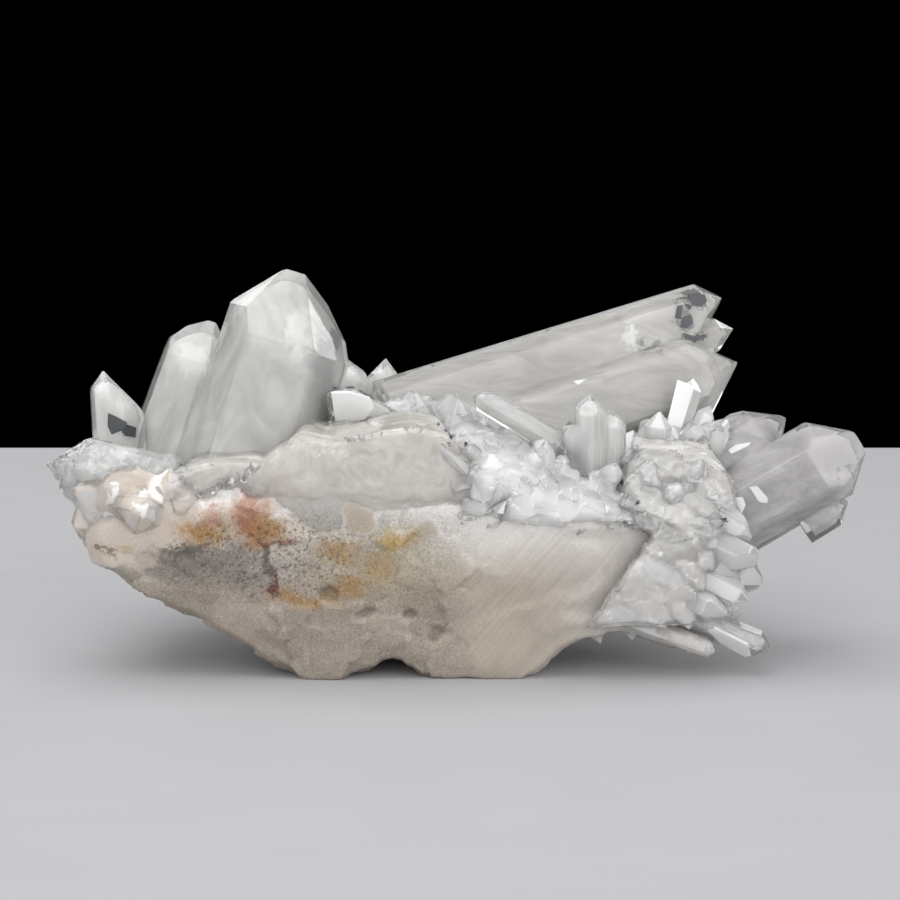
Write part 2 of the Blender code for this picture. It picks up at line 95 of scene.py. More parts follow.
camera = bpy.data.objects.new("camera", bpy.data.cameras.new("camera"))
bpy.context.collection.objects.link(camera)
camera.data.lens = LENS
camera.data.sensor_width = SENSOR
camera.data.clip_start = NEAREST_SEEN * MM
back_off = Vector((0, -math.cos(CAMERA_FALL), math.sin(CAMERA_FALL))) * CAMERA_DISTANCE
camera.location = place(CAMERA_AIM + back_off)
look_at(camera, place(CAMERA_AIM))
bpy.context.scene.camera = camera
print("camera at", [round(v, 3) for v in camera.location])

# %% [markdown]
# ## Helpers for materials
#
# Colours are given as the hex codes a paint program shows, which are sRGB. Shaders
# want linear light, so one function turns the one into the other. A second one adds a node,
# with its settings and whatever feeds it, so that a material reads like a list. A third turns
# the real size of a pattern's spots, in millimetres, into the scale that a texture asks for.

# %% Colour, node and pattern helpers
def tone(code):
    """A hex colour as linear red, green, blue and alpha."""
    parts = [int(code[i:i + 2], 16) / 255 for i in (1, 3, 5)]
    return [p / 12.92 if p <= 0.04045 else ((p + 0.055) / 1.055) ** 2.4 for p in parts] + [1.0]


def add(tree, kind, inputs=None, stops=None, **settings):
    """Add a node. An input is a value or the output that feeds it; stops are a ramp's colours."""
    node = tree.nodes.new(kind)
    for key, value in settings.items():
        setattr(node, key, value)
    for key, value in (inputs or {}).items():
        if isinstance(value, bpy.types.NodeSocket):
            tree.links.new(value, node.inputs[key])
        else:
            node.inputs[key].default_value = value
    if stops:
        ramp = node.color_ramp.elements
        ramp[0].position, ramp[0].color = stops[0][0], tone(stops[0][1])
        ramp[1].position, ramp[1].color = stops[-1][0], tone(stops[-1][1])
        for position, code in stops[1:-1]:
            ramp.new(position).color = tone(code)
    return node


def spaced(size):
    """How many lengths of this many millimetres go into a metre, which is a pattern's scale."""
    return 1 / (size * MM)


def new_material(name, sockets):
    """A material whose shader has these values on its sockets, with its tree and shader."""
    material = bpy.data.materials.new(name)
    material.use_nodes = True
    shader = material.node_tree.nodes["Principled BSDF"]
    for socket, value in sockets.items():
        shader.inputs[socket].default_value = value
    return material, material.node_tree, shader


# %% [markdown]
# ## The floor and the light
#
# The floor is one plain pale matt plate. It ends a little behind the cluster, so that the
# crystals that rise above its edge have darkness behind them, as in the photograph. Clear
# quartz shows what is around it more than what it is made of, so this matters as much as
# the lamps. The lamps are all large, because a small one shows in a clear face as a hard
# white rectangle: one hangs overhead and to the left, one fills from the front, one from the
# right, and two faint ones behind keep the unseen side from going black.

# %% Floor
FLOOR_BACK = 330.0     # how far behind the cluster the floor ends, in mm
FLOOR_FRONT = -900.0
FLOOR_HALF_WIDTH = 1100.0
FLOOR_MOTTLES = 60.0   # mottles across the floor, each 20 to 40 mm wide

# Matt paint: hardly any gloss, and a very faint cloudiness that keeps it from looking drawn
matt_paint, tree, shader = new_material("matt_pale_grey_paint", {"Roughness": 0.9})
mottles = add(tree, "ShaderNodeTexNoise", {"Scale": FLOOR_MOTTLES, "Detail": 3.0})
shades = add(tree, "ShaderNodeValToRGB", {"Fac": mottles.outputs["Fac"]},
             [(0.0, "#A7A7A9"), (1.0, "#ADADAF")])
tree.links.new(shades.outputs["Color"], shader.inputs["Base Color"])

floor_mesh = bpy.data.meshes.new("floor")
near_left = place((-FLOOR_HALF_WIDTH, FLOOR_FRONT, 0))
far_right = place((FLOOR_HALF_WIDTH, FLOOR_BACK, 0))
floor_mesh.from_pydata(
    [(near_left.x, near_left.y, 0), (far_right.x, near_left.y, 0),
     (far_right.x, far_right.y, 0), (near_left.x, far_right.y, 0)], [], [(0, 1, 2, 3)])
floor = bpy.data.objects.new("floor", floor_mesh)
bpy.context.collection.objects.link(floor)
floor_mesh.materials.append(matt_paint)
print("floor:", 2 * FLOOR_HALF_WIDTH, "mm wide")

# %% Lamps
LAMPS = [
    # name, place, what it points at, width and height, watts
    ("overhead", (-160, -40, 700), (0, 0, 30), (700, 600), 3.7),
    ("front_fill", (-100, -900, 420), (0, 0, 30), (1500, 800), 4.8),
    ("right_fill", (720, -480, 320), (20, 0, 35), (700, 500), 2.9),
    ("rear_left", (-500, 620, 420), (0, 20, 40), (350, 350), 0.9),
    ("rear_right", (520, 600, 400), (0, 20, 40), (350, 350), 0.9),
]
for name, spot, target, size, watts in LAMPS:
    lamp = bpy.data.objects.new(name, bpy.data.lights.new(name, "AREA"))
    lamp.data.shape = "RECTANGLE"
    lamp.data.size, lamp.data.size_y = size[0] * MM, size[1] * MM
    lamp.data.energy = watts
    bpy.context.collection.objects.link(lamp)
    lamp.location = place(spot)
    look_at(lamp, place(target))
print("lamps:", len(LAMPS))

# %% A pale room with one black wall
ROOM_LIGHT = 1.4
WALL_START, WALL_FULL = 0.55, 0.8   # how squarely a direction faces the back, from 0 to 1

room = bpy.data.worlds.new("pale_room_with_a_black_wall")
room.use_nodes = True
tree = room.node_tree
heading = add(tree, "ShaderNodeTexCoord").outputs["Generated"]
heading = add(tree, "ShaderNodeSeparateXYZ", {"Vector": heading})
wall = add(tree, "ShaderNodeMapRange",
           {"Value": heading.outputs["Y"], "From Min": WALL_START, "From Max": WALL_FULL})
walls = add(tree, "ShaderNodeMix", {"Factor": wall.outputs["Result"], 6: tone("#A8A8AA"), 7: tone("#000000")},
            data_type="RGBA")
tree.links.new(walls.outputs[2], tree.nodes["Background"].inputs["Color"])
tree.nodes["Background"].inputs["Strength"].default_value = ROOM_LIGHT
bpy.context.scene.world = room
bpy.context.scene.view_settings.view_transform = "Standard"
print("room light:", ROOM_LIGHT)

# %% [markdown]
# ## The quartz habit
#
# A quartz crystal is bounded by flat faces at fixed angles: six prism faces round the long
# axis and six more that close in on the tip, each square to a line that leans 51.8 degrees
# off the axis. Faces grow at different speeds, so the hexagon is never regular and some faces
# of the point win over others. Rather than model edges by hand, each crystal is stated as a
# list of planes, and its corners are wherever three planes meet inside all the others.

# %% Planes and corners of a crystal
FACE_TILT = math.radians(51.8)


def crystal_planes(tip, foot, across, turn=0.0, sides=(1.0,) * 6, caps=(0.0,) * 6, taper=0.0):
    """The planes of a crystal, each as the line square to it and its distance from the origin."""
    tip, foot = Vector(tip), Vector(foot)
    axis = (tip - foot).normalized()
    lies_front_to_back = abs(axis.y) >= 0.98
    side = axis.orthogonal() if lies_front_to_back else Vector((0, 1, 0)).cross(axis)
    side = side.normalized()
    front = axis.cross(side)
    middle = (tip + foot) / 2
    lean = math.radians(taper)
    planes = [(-axis, -axis.dot(foot))]
    for k in range(6):
        angle = math.radians(turn + 60 * k)
        outward = side * math.cos(angle) + front * math.sin(angle)
        prism = outward * math.cos(lean) + axis * math.sin(lean)
        planes.append((prism, prism.dot(middle + outward * across / 2 * sides[k])))
        point = outward * math.sin(FACE_TILT) + axis * math.cos(FACE_TILT)
        planes.append((point, point.dot(tip) + caps[k]))
    return planes


def corners_of(planes):
    normals = np.array([tuple(normal) for normal, _ in planes])
    distances = np.array([distance for _, distance in planes])
    corners = []
    for trio in combinations(range(len(planes)), 3):
        rows = normals[list(trio)]
        if abs(np.linalg.det(rows)) < 1e-4:
            continue
        corner = np.linalg.solve(rows, distances[list(trio)])
        if np.all(normals @ corner <= distances + 1e-6):
            corners.append(corner)
    return corners


print("corners of a regular crystal:", len(corners_of(crystal_planes((0, 0, 30), (0, 0, 0), 10))))

# %% Hulls and finished pieces
SAME_CORNER = 0.05                # corners closer than this, in mm, are one
FLAT = math.radians(0.5)          # faces that meet at less than this are one


def add_hull(bm, corners, bevel=0.0):
    """Add a closed convex shell to a mesh in the making, its edges worn by the bevel, in mm."""
    part = bmesh.new()
    for corner in corners:
        part.verts.new(place(corner))
    bmesh.ops.remove_doubles(part, verts=part.verts, dist=SAME_CORNER * MM)
    bmesh.ops.convex_hull(part, input=part.verts)
    loose = [vert for vert in part.verts if not vert.link_faces]
    bmesh.ops.delete(part, geom=loose, context="VERTS")
    bmesh.ops.dissolve_limit(part, angle_limit=FLAT, verts=part.verts, edges=part.edges)
    if bevel:
        bmesh.ops.bevel(part, geom=part.edges, offset=bevel * MM, segments=1, affect="EDGES",
                        clamp_overlap=True)
    bmesh.ops.recalc_face_normals(part, faces=part.faces)
    hull = bpy.data.meshes.new("hull")
    part.to_mesh(hull)
    part.free()
    bm.from_mesh(hull)
    bpy.data.meshes.remove(hull)


def new_piece(name, bm, material, stands_for, slot):
    """Turn a finished mesh into a piece that rides with the cluster and stands for CAD nodes."""
    mesh = bpy.data.meshes.new(name)
    bm.to_mesh(mesh)
    bm.free()
    piece = bpy.data.objects.new(name, mesh)
    bpy.context.collection.objects.link(piece)
    mesh.materials.append(material)
    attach(piece, "root")
    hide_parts(*stands_for)
    print(f"{name}: {len(mesh.polygons)} faces")


# %% [markdown]
# ## Clear skins of quartz
#
# Quartz bends light by an index of 1.544. A large crystal of this kind has a clear rim and a
# cloudy core. One cloudy material for all of it looks like soap, and one clear material
# looks empty, so the crystal is made twice: here its skin, which lets nearly everything
# through, and further down a smaller milky core inside it. The skin's natural faces are
# as flat as glass, with a growth ripple that only shows in reflections. Broken skins are a
# little frosted. Each face reads its own tone from the mesh: the bright tones are painted
# flashes of light and the dim ones painted dark reflections.

# %% Quartz materials
QUARTZ_IOR = 1.544
VEILS = 80.0              # clouds in the body to a metre, one each 12.5 mm
RIPPLES = 260.0           # one each 3.8 mm: real growth ripples are finer, too fine to show
RIPPLE_HEIGHT = 0.15      # mm
GLOW_DEPTH = 6.0          # how far light strays under a cloudy surface, in mm
MILK_COLOURS = (1.0, 0.95, 0.9)   # red strays a little further than blue
UPRIGHT, LYING, EVEN = (1.0, 1.0, 0.4), (0.35, 1.0, 1.0), (1.0, 1.0, 1.0)


def quartz(name, body, clearness, haze, tint="#FFFFFF", depth=400.0, glow=0.0, streaks=EVEN, coat=1.0):
    """Quartz with dim, plain and bright colours, partly painted flashes and dark reflections, share of light
    let through, and blur.
    """
    material, tree, shader = new_material(name, {
        "Roughness": haze, "IOR": QUARTZ_IOR, "Transmission Weight": clearness,
        "Coat Weight": coat, "Coat Roughness": 0.02, "Coat IOR": QUARTZ_IOR,
        "Subsurface Weight": glow, "Subsurface Scale": GLOW_DEPTH * MM, "Subsurface Radius": MILK_COLOURS})
    spot = add(tree, "ShaderNodeTexCoord").outputs["Object"]
    drawn = add(tree, "ShaderNodeMapping", {"Vector": spot, "Scale": streaks})
    veils = add(tree, "ShaderNodeTexNoise", {"Vector": drawn.outputs["Vector"], "Scale": VEILS,
                                             "Detail": 5.0, "Roughness": 0.62, "Distortion": 1.4})
    # Each face's tone: near one it is a painted flash, near nought a painted dark reflection
    lit = add(tree, "ShaderNodeAttribute", attribute_name="tone_with_painted_flash").outputs["Fac"]
    shade = add(tree, "ShaderNodeMath", {0: veils.outputs["Fac"], 1: 0.6, 2: lit}, operation="MULTIPLY_ADD")
    shade = add(tree, "ShaderNodeMath", {0: shade.outputs[0], 1: 0.3}, operation="SUBTRACT")
    dim, plain, bright = body
    ramp = add(tree, "ShaderNodeValToRGB", {"Fac": shade.outputs[0]},
               [(0.0, dim), (0.4, plain), (0.65, plain), (1.0, bright)])
    tree.links.new(ramp.outputs["Color"], shader.inputs["Base Color"])
    ripple = add(tree, "ShaderNodeTexNoise", {"Vector": spot, "Scale": RIPPLES, "Detail": 3.0})
    bump = add(tree, "ShaderNodeBump", {"Height": ripple.outputs["Fac"], "Strength": 0.12,
                                        "Distance": RIPPLE_HEIGHT * MM})
    tree.links.new(bump.outputs["Normal"], shader.inputs["Normal"])
    volume = add(tree, "ShaderNodeVolumeAbsorption", {"Color": tone(tint), "Density": spaced(depth)})
    tree.links.new(volume.outputs["Volume"], tree.nodes["Material Output"].inputs["Volume"])
    return material


# Natural faces: flat and polished, so they flash in one piece and show the milk below
clear_skin = quartz("glassy_skin_of_rock_crystal", ("#C8C8C6", "#FAFAF8", "#FFFFFF"), 0.88, 0.06, coat=0.0)
# The same, with a breath of smoke that greys what lies behind it
smoky_skin = quartz("faintly_smoky_skin", ("#A8A6A6", "#F0EEEE", "#FFFFFF"), 0.88, 0.07, "#E3E1E1", 60.0,
                    coat=0.0)
# A break with a fine frost: soft and pearly, without a sharp reflection
frosted = quartz("frosted_skin_of_broken_quartz", ("#B4B1AD", "#F6F3EF", "#FFFFFF"), 0.82, 0.2, coat=0.2)
# A shell-like break: wet-looking ripples that catch the light in short curves
rippled = quartz("rippled_skin_of_broken_quartz", ("#B9B7B4", "#F6F4F1", "#FFFFFF"), 0.8, 0.13, coat=0.4)
# A break with a trace of iron, which warms the light that comes back out
warm_skin = quartz("faintly_iron_tinted_quartz", ("#C4BAB0", "#FFF6EC", "#FFFFFF"), 0.78, 0.12,
                   "#F3E4D8", 60.0, coat=0.4)
# The run of tiny facets under the druse: bright, half clear and lively
druse_skin = quartz("glassy_skin_of_the_druse", ("#CCCBC9", "#FFFFFF", "#FFFFFF"), 0.72, 0.09, glow=0.3,
                    coat=0.3)
# Small crystals of the druse: a polished face over a body that glows white
druse_glass = quartz("druse_rock_crystal", ("#BEBDBB", "#F4F3F0", "#FFFFFF"), 0.5, 0.12, glow=0.8)
# Painted highlight: a near-opaque white that stands for a fracture throwing a lamp straight back
flash_paint_quartz = quartz("painted_white_flash_on_rock_crystal", ("#E8E8E8", "#F8F8F8", "#FFFFFF"), 0.1, 0.1, glow=0.4)
# Painted dark reflection: slate grey and dull, for a face that mirrors the dark background
dark_reflection_paint_quartz = quartz("painted_dark_reflection_on_rock_crystal", ("#0C0D10", "#34373C", "#8C8E92"), 0.0, 0.4,
                   streaks=(16.0, 16.0, 16.0), coat=0.1)
print("materials so far:", len(bpy.data.materials))

# %% [markdown]
# ## Dressing the large crystals
#
# The solid model already has every face of the large crystals where it belongs, so its mesh
# is taken over as it is. Its edges are what gives it away: a computed edge has no width and
# never glints. A quarter of a millimetre of bevel gives each one the thin bright line of a
# real crystal edge, helped by a painted highlight: the bevel's faces get a lighter tone. The
# small lying crystal is worn round, so its bevel is far wider.

# %% Tones of faces
# Of the lively faces, this share gets a painted flash and the rest a painted dark reflection
FLASH_SHARE_PAINTED = 0.6   # of the lively faces, this share is bright and the rest dark
spark = random.Random(3)


def tone_faces_with_painted_flashes(bm, lively):
    """Give faces their own tone: a lively share are painted flashes and painted dark reflections, the rest
    lie about the middle.
    """
    layer = bm.faces.layers.float.get("tone_with_painted_flash") or bm.faces.layers.float.new("tone_with_painted_flash")
    for face in bm.faces:
        draw = spark.random()
        if draw < lively * FLASH_SHARE_PAINTED:
            face[layer] = spark.uniform(0.85, 1.1)
        elif draw < lively:
            face[layer] = spark.uniform(0.0, 0.25)
        else:
            face[layer] = 0.5 + spark.uniform(-0.3, 0.3) * min(1.0, lively * 3)


# %% Bevelled skins of the CAD crystals
DRESSED = ["main_crystals", "left_point", "back_points", "long_crystals", "slanted_blade", "striated_bundle",
           "right_crystals", "finger_crystal", "notch_crystal", "rear_left_crystals", "rear_middle_crystals",
           "rear_right_crystals"]
SMOKY = "right_crystals"
EDGE_WEAR, WORN = 0.25, {"finger_crystal": 1.8}   # bevels in mm
SHARP = math.radians(12)
# Tone of the bevel rims: a painted highlight along each edge
RIM_TONE_PAINTED_HIGHLIGHT = 0.8


def slot_of(name):
    return "smoky_quartz" if name == SMOKY else "clear_quartz"


for name in DRESSED:
    bm = bmesh.new()
    bm.from_mesh(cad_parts[name].data)
    bmesh.ops.remove_doubles(bm, verts=bm.verts, dist=SAME_CORNER / 10 * MM)
    bmesh.ops.dissolve_limit(bm, angle_limit=FLAT, verts=bm.verts, edges=bm.edges)
    tone_faces_with_painted_flashes(bm, 0.0)
    sharp = [edge for edge in bm.edges if edge.is_manifold and edge.calc_face_angle_signed() > SHARP]
    rims = bmesh.ops.bevel(bm, geom=sharp, offset=WORN.get(name, EDGE_WEAR) * MM, segments=2, profile=0.5,
                           affect="EDGES", clamp_overlap=True)["faces"]
    tone_faces_with_painted_flashes(bm, 0.0)
    layer = bm.faces.layers.float["tone_with_painted_flash"]
    # The rims get the lighter tone, a painted highlight
    for face in rims:
        if face.is_valid:
            face[layer] = RIM_TONE_PAINTED_HIGHLIGHT
    new_piece(name + "_faces", bm, smoky_skin if name == SMOKY else clear_skin, [name], slot_of(name))

# %% [markdown]
# ## Patches of colour
#
# Stains, veils and dark grains sit at known places, so each is painted as a stretched ball of
# colour round a centre. A clean ball would look like a sticker. Its rim is made ragged by
# moving the places that it is measured from with a noise, which costs one node and follows
# any curved surface. A picture would do it too, but it would blur close up.

# %% Helpers for patches of colour
def limits(full, none, strength=1.0):
    """Inputs that give the strength at the first limit, nothing at the second, and a slope between."""
    return {"From Min": none, "From Max": full, "To Min": 0.0, "To Max": strength}


def wash(tree, under, colour, value, full, none, strength=1.0, blend="MIX"):
    """Lay a colour over another where a value is near one limit, fading out to the other."""
    fade = add(tree, "ShaderNodeMapRange", {"Value": value, **limits(full, none, strength)},
               interpolation_type="SMOOTHSTEP")
    over = tone(colour) if isinstance(colour, str) else colour
    mixed = add(tree, "ShaderNodeMix", {"Factor": fade.outputs["Result"], 6: under, 7: over},
                data_type="RGBA", blend_type=blend)
    return mixed.outputs[2]


def patch(tree, under, spot, centre, radii, colour, strength=1.0, soft=0.5):
    """A soft-edged ball of colour round a centre, both in specimen millimetres."""
    away = add(tree, "ShaderNodeVectorMath", {0: spot, 1: place(centre)}, operation="SUBTRACT")
    scaled = add(tree, "ShaderNodeVectorMath", {0: away.outputs[0], 1: [spaced(radius) for radius in radii]},
                 operation="MULTIPLY")
    distance = add(tree, "ShaderNodeVectorMath", {0: scaled.outputs[0]}, operation="LENGTH")
    return wash(tree, under, colour, distance.outputs["Value"], 1 - soft, 1 + soft, strength)


def wandering(tree, spot, spacing, reach, detail=3.0):
    """The same places, each moved up to the reach, so that round shapes get ragged rims."""
    field = add(tree, "ShaderNodeTexNoise", {"Vector": spot, "Scale": spaced(spacing), "Detail": detail})
    shift = add(tree, "ShaderNodeVectorMath", {0: field.outputs["Color"], 1: (0.5, 0.5, 0.5)},
                operation="SUBTRACT")
    scaled = add(tree, "ShaderNodeVectorMath", {0: shift.outputs[0], "Scale": 2 * reach * MM},
                 operation="SCALE")
    return add(tree, "ShaderNodeVectorMath", {0: spot, 1: scaled.outputs[0]}, operation="ADD").outputs[0]


# %% [markdown]
# ## Milky cores
#
# The cloud in a crystal is a crowd of tiny bubbles of the water that it grew from. They
# scatter light inside, so it is subsurface scattering that makes the core look deep and
# not painted. Drawn-out noise gives its veils, and the few grains at known places are
# patches, as are a few painted flashes and painted dark reflections. A true fog of scatter
# would need far more light paths, and the exported model would lose it.

# %% The milky material
CORE_ROUGHNESS = 0.6
CORE_GLOW, CORE_DEPTH = 0.7, 5.0   # share of light that strays, and how far in mm


def milky_core(name, streaks, patches=(), tones=("#DEDDDA", "#FFFFFD"), veil_scale=75.0):
    """Milky quartz with veils between two tones, and patches of centre, radii, colour and rim."""
    material, tree, shader = new_material(name, {
        "Roughness": CORE_ROUGHNESS, "Subsurface Weight": CORE_GLOW,
        "Subsurface Scale": CORE_DEPTH * MM, "Subsurface Radius": MILK_COLOURS})
    spot = add(tree, "ShaderNodeTexCoord").outputs["Object"]
    drawn = add(tree, "ShaderNodeMapping", {"Vector": spot, "Scale": streaks})
    veils = add(tree, "ShaderNodeTexNoise", {"Vector": drawn.outputs["Vector"], "Scale": veil_scale,
                                             "Detail": 6.0, "Roughness": 0.65, "Distortion": 1.6})
    body = add(tree, "ShaderNodeValToRGB", {"Fac": veils.outputs["Fac"]},
               [(0.33, tones[0]), (0.66, tones[1])])
    colour = body.outputs["Color"]
    ragged = wandering(tree, wandering(tree, spot, 3.0, 4.0), 0.9, 2.0)
    for centre, radii, code, strength, soft in patches:
        colour = patch(tree, colour, ragged, centre, radii, code, strength, soft)
    tree.links.new(colour, shader.inputs["Base Color"])
    return material


# %% Cores of the large crystals
main_core = milky_core("milky_core_of_main_crystals", (1.0, 1.0, 0.6), [
    # The white patches are painted flashes; the grey ones are grains
    ((-55, 2, 84), (3, 9, 9), "#9C9C9B", 0.7, 0.5), ((-31, 0, 77), (2.6, 14, 2.2), "#6E7072", 0.8, 0.6),
    ((-33, -6, 72), (3, 12, 6), "#A4A5A6", 0.8, 0.6), ((-64.5, 2, 74), (3.4, 8, 4.5), "#FFFFFF", 1.0, 0.4),
    ((-38, -4, 80), (3, 9, 5), "#FFFFFF", 0.8, 0.5),
], ("#BDBCB9", "#E5E4E1"))
long_core = milky_core("milky_core_of_long_crystals", (0.35, 1.0, 1.3), [
    # The near-black patches are painted dark reflections of the dark background, the white one a painted
    # flash
    ((62, 28, 86), (3.6, 12, 2.2), "#1A1B1E", 1.0, 0.15),
    ((58.5, 27, 81.5), (2.6, 12, 3.2), "#1E1F22", 1.0, 0.15),
    ((60.5, 26, 76.3), (3.4, 12, 1.1), "#1E1F22", 1.0, 0.2),
    ((50, 22, 74), (3.4, 10, 1.0), "#44454A", 0.8, 0.3),
    ((45, 23, 77), (1.4, 9, 3.2), "#FFFFFF", 1.0, 0.3),
], ("#B2AFAA", "#E0DDD8"), 110.0)
plain_core = milky_core("milky_core", UPRIGHT)
smoky_core = milky_core("milky_core_of_right_crystals", LYING, [
    ((91.7, -11, 48.4), (1.1, 9, 1.1), "#3A3A40", 0.9, 0.4),
    ((95.4, -10, 47.7), (0.9, 9, 1.0), "#3A3A40", 0.9, 0.4),
    ((90, -10, 52), (9, 12, 6), "#C4C1C4", 0.7, 0.7),
], ("#A9A7A6", "#E9E8E7"), 120.0)
lined_core = milky_core("lined_core_of_the_bundle", (4.0, 4.0, 0.3), tones=("#C9C8C6", "#FFFFFF"))
blade_core = milky_core("lined_core_of_the_blade", (0.5, 4.0, 1.5), tones=("#DAD9D7", "#FFFFFF"))

# %% [markdown]
# ## Cores inside the large crystals
#
# The core has the shape of its crystal, only smaller and softer: the clear rim is thickest
# at the edges. Scaling the mesh down would shift it in a long crystal, so every point is
# moved inwards along its own normal, after a smoothing that has rounded the edges off. For
# that the surface needs points in even steps, which a voxel remesh gives.

# %% Even skins and softening
def even_skin(bm, step):
    """The same closed shape with its surface in small even squares, as a mesh in millimetres."""
    mesh = bpy.data.meshes.new("skin")
    bm.to_mesh(mesh)
    bm.free()
    solid = bpy.data.objects.new("skin", mesh)
    bpy.context.collection.objects.link(solid)
    remesh = solid.modifiers.new("skin", "REMESH")
    remesh.mode = "VOXEL"
    remesh.voxel_size = step
    result = bpy.data.meshes.new_from_object(solid.evaluated_get(bpy.context.evaluated_depsgraph_get()))
    bpy.data.objects.remove(solid)
    print("skin:", len(result.vertices), "points")
    return result


def softened(bm, rounds):
    for _ in range(rounds):
        bmesh.ops.smooth_vert(bm, verts=bm.verts, factor=0.5, use_axis_x=True, use_axis_y=True,
                              use_axis_z=True)
    bm.normal_update()


# %% Set a core in each crystal
CORES = {
    # node: material, how far inside the faces, squares of the skin, rounds of smoothing
    "main_crystals": (main_core, 1.6, 1.1, 30), "long_crystals": (long_core, 1.3, 1.1, 16),
    "back_points": (plain_core, 1.4, 1.0, 12), "left_point": (plain_core, 1.3, 0.8, 12),
    "notch_crystal": (plain_core, 1.2, 0.7, 8),
    "slanted_blade": (blade_core, 0.7, 0.45, 3), "striated_bundle": (lined_core, 0.9, 0.6, 8),
    "finger_crystal": (plain_core, 1.9, 0.7, 4), "right_crystals": (smoky_core, 1.6, 1.0, 10),
    "rear_left_crystals": (plain_core, 1.8, 1.1, 16), "rear_middle_crystals": (plain_core, 1.8, 1.1, 16),
    "rear_right_crystals": (plain_core, 1.8, 1.1, 16),
}
UNEVEN_RIM, RIM_SWELLS = 0.4, 6.0   # how much the depth varies, and over how many mm

for name, (material, inset, step, rounds) in CORES.items():
    bm = bmesh.new()
    bm.from_mesh(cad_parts[name].data)
    bmesh.ops.scale(bm, vec=(1 / MM,) * 3, verts=bm.verts)
    skin = even_skin(bm, step)
    bm = bmesh.new()
    bm.from_mesh(skin)
    softened(bm, rounds)
    inward = [vert.normal * inset * (1 + UNEVEN_RIM * noise.noise(vert.co / RIM_SWELLS)) for vert in bm.verts]
    for vert, move in zip(bm.verts, inward):
        vert.co = (vert.co - move) * MM
    for face in bm.faces:
        face.smooth = True
    new_piece(name + "_core", bm, material, [name], slot_of(name))

# %% [markdown]
# ## The small crystals of the base
#
# Round the large crystals the base carries blunt stumps where crystals broke off, ribs of
# thin crystals side by side, and a crust of small ones called druse. They sit exactly where
# the solid model has them, so the chance that shapes them is drawn in the same order, from
# the same seed.

# %% Where the stumps, lumps, ribs and nubs stand
LARGE_STUMPS = [
    # tip, foot, width
    ((-14, -27, 57), (-12, 4, 36), 30), ((-36, -26, 54), (-34, 2, 38), 22),
    ((4, -22, 55), (4, 4, 36), 17), ((-50, -26, 50), (-48, -4, 36), 15), ((2, -4, 66), (0, 8, 44), 17),
    ((14, -4, 63), (8, 8, 44), 12), ((-9, 0, 66), (-8, 8, 44), 12), ((-24, -6, 62), (-22, 6, 44), 12),
    ((-29, -9, 60), (-31, 2, 42), 12), ((44, 3, 57), (40, 3, 38), 11), ((53, 5, 58), (47, 5, 38), 11.5),
    ((61, 6, 57), (52, 5, 36), 10.5), ((67, 8, 57.5), (56, 6, 36), 9), ((-29, 6, 63), (-30, 8, 44), 9),
    ((55, 12, 60), (52, 8, 40), 10),
]
LEFT_LUMPS = [
    ((-90, -24, 44), (-70, -10, 38), 17), ((-80, -29, 49), (-72, -6, 36), 15),
    ((-66, -29, 46), (-64, -4, 34), 15), ((-88, -20, 33), (-72, -8, 34), 13),
]
RIGHT_RIBS = [
    ((71.9, -18, 32), (50, -12, 44), 8.6), ((72.9, -21, 27), (48, -14, 38), 8.2),
    ((73.8, -16, 21.5), (46, -12, 34), 9.2), ((74.4, -11, 20), (46, -8, 32), 9),
    ((69.9, -23, 18.5), (44, -16, 30), 8.4), ((64.4, -25, 15.5), (42, -16, 26), 7.6),
    ((68.4, -2, 16), (44, -2, 28), 10), ((62.4, -27, 30), (44, -18, 38), 8),
    ((56.4, -28, 22), (38, -20, 30), 9), ((66.4, -23, 41), (48, -14, 44), 8),
]
UNDER_NUBS = [
    ((62, -23, 6.6), (40, -20, 14), 4.6), ((54, -20, 7.4), (36, -16, 14), 4.4),
    ((35, -22, 7.6), (31, -18, 16), 4.6), ((43, -21, 8.6), (41, -18, 16), 4.2),
    ((66, -16, 8.6), (46, -14, 18), 5.2), ((70, -10, 12), (50, -10, 20), 5.8),
]
DRUSE_PATCHES = [
    # centre, spread, heading of the tips, count, shortest and longest, narrowest and widest
    ((14, -14, 44), (10, 6, 3), (0.1, -0.45, 1.0), 11, (6, 12), (4.6, 7.4)),
    ((28, -17, 42), (8, 5, 3), (0.25, -0.55, 1.0), 10, (6, 10), (4.4, 6.8)),
    ((44, -13, 41), (9, 6, 3), (0.5, -0.35, 0.9), 12, (7, 12), (4.6, 7.8)),
    ((58, -10, 40), (6, 5, 3), (0.7, -0.3, 0.7), 7, (7, 11), (4.6, 7.0)),
    ((-47, -19, 43), (4, 2, 2), (0.3, -0.4, 1.0), 4, (6, 9), (4.0, 6.0)),
    ((-42, 26, 46), (15, 7, 3), (-0.1, 0.5, 1.0), 7, (8, 13), (6.5, 10)),
    ((2, 27, 46), (14, 7, 3), (0.0, 0.5, 1.0), 6, (8, 13), (6.5, 10)),
    ((44, 24, 40), (13, 8, 4), (0.4, 0.5, 0.8), 7, (8, 13), (6.5, 9.5)),
    ((-74, 14, 40), (6, 8, 4), (-0.6, 0.5, 0.7), 5, (7, 11), (5.5, 8.5)),
]
FRONT_PATCHES = 5   # the rest of the druse grows on the far side

# %% Draw the small crystals
RANDOM_SEED = 11
STUMP_CAPS, STUMP_SIDES, STUMP_TAPER = (-0.10, 0.12), (0.84, 1.08), (1, 4)
DRUSE_CAPS, DRUSE_SIDES, DRUSE_TAPER = (-0.3, 0.6), (0.8, 1.1), (0.5, 2.5)
DRUSE_SCATTER, DRUSE_ROOT = 0.38, 3.0
rng = random.Random(RANDOM_SEED)


def grown(tip, foot, across):
    """One small crystal at a known place, its exact faces left to chance."""
    caps = [rng.uniform(*STUMP_CAPS) * across for _ in range(6)]
    sides = [rng.uniform(*STUMP_SIDES) for _ in range(6)]
    turn = rng.uniform(0, 60)
    return corners_of(crystal_planes(tip, foot, across, turn, sides, caps, rng.uniform(*STUMP_TAPER)))


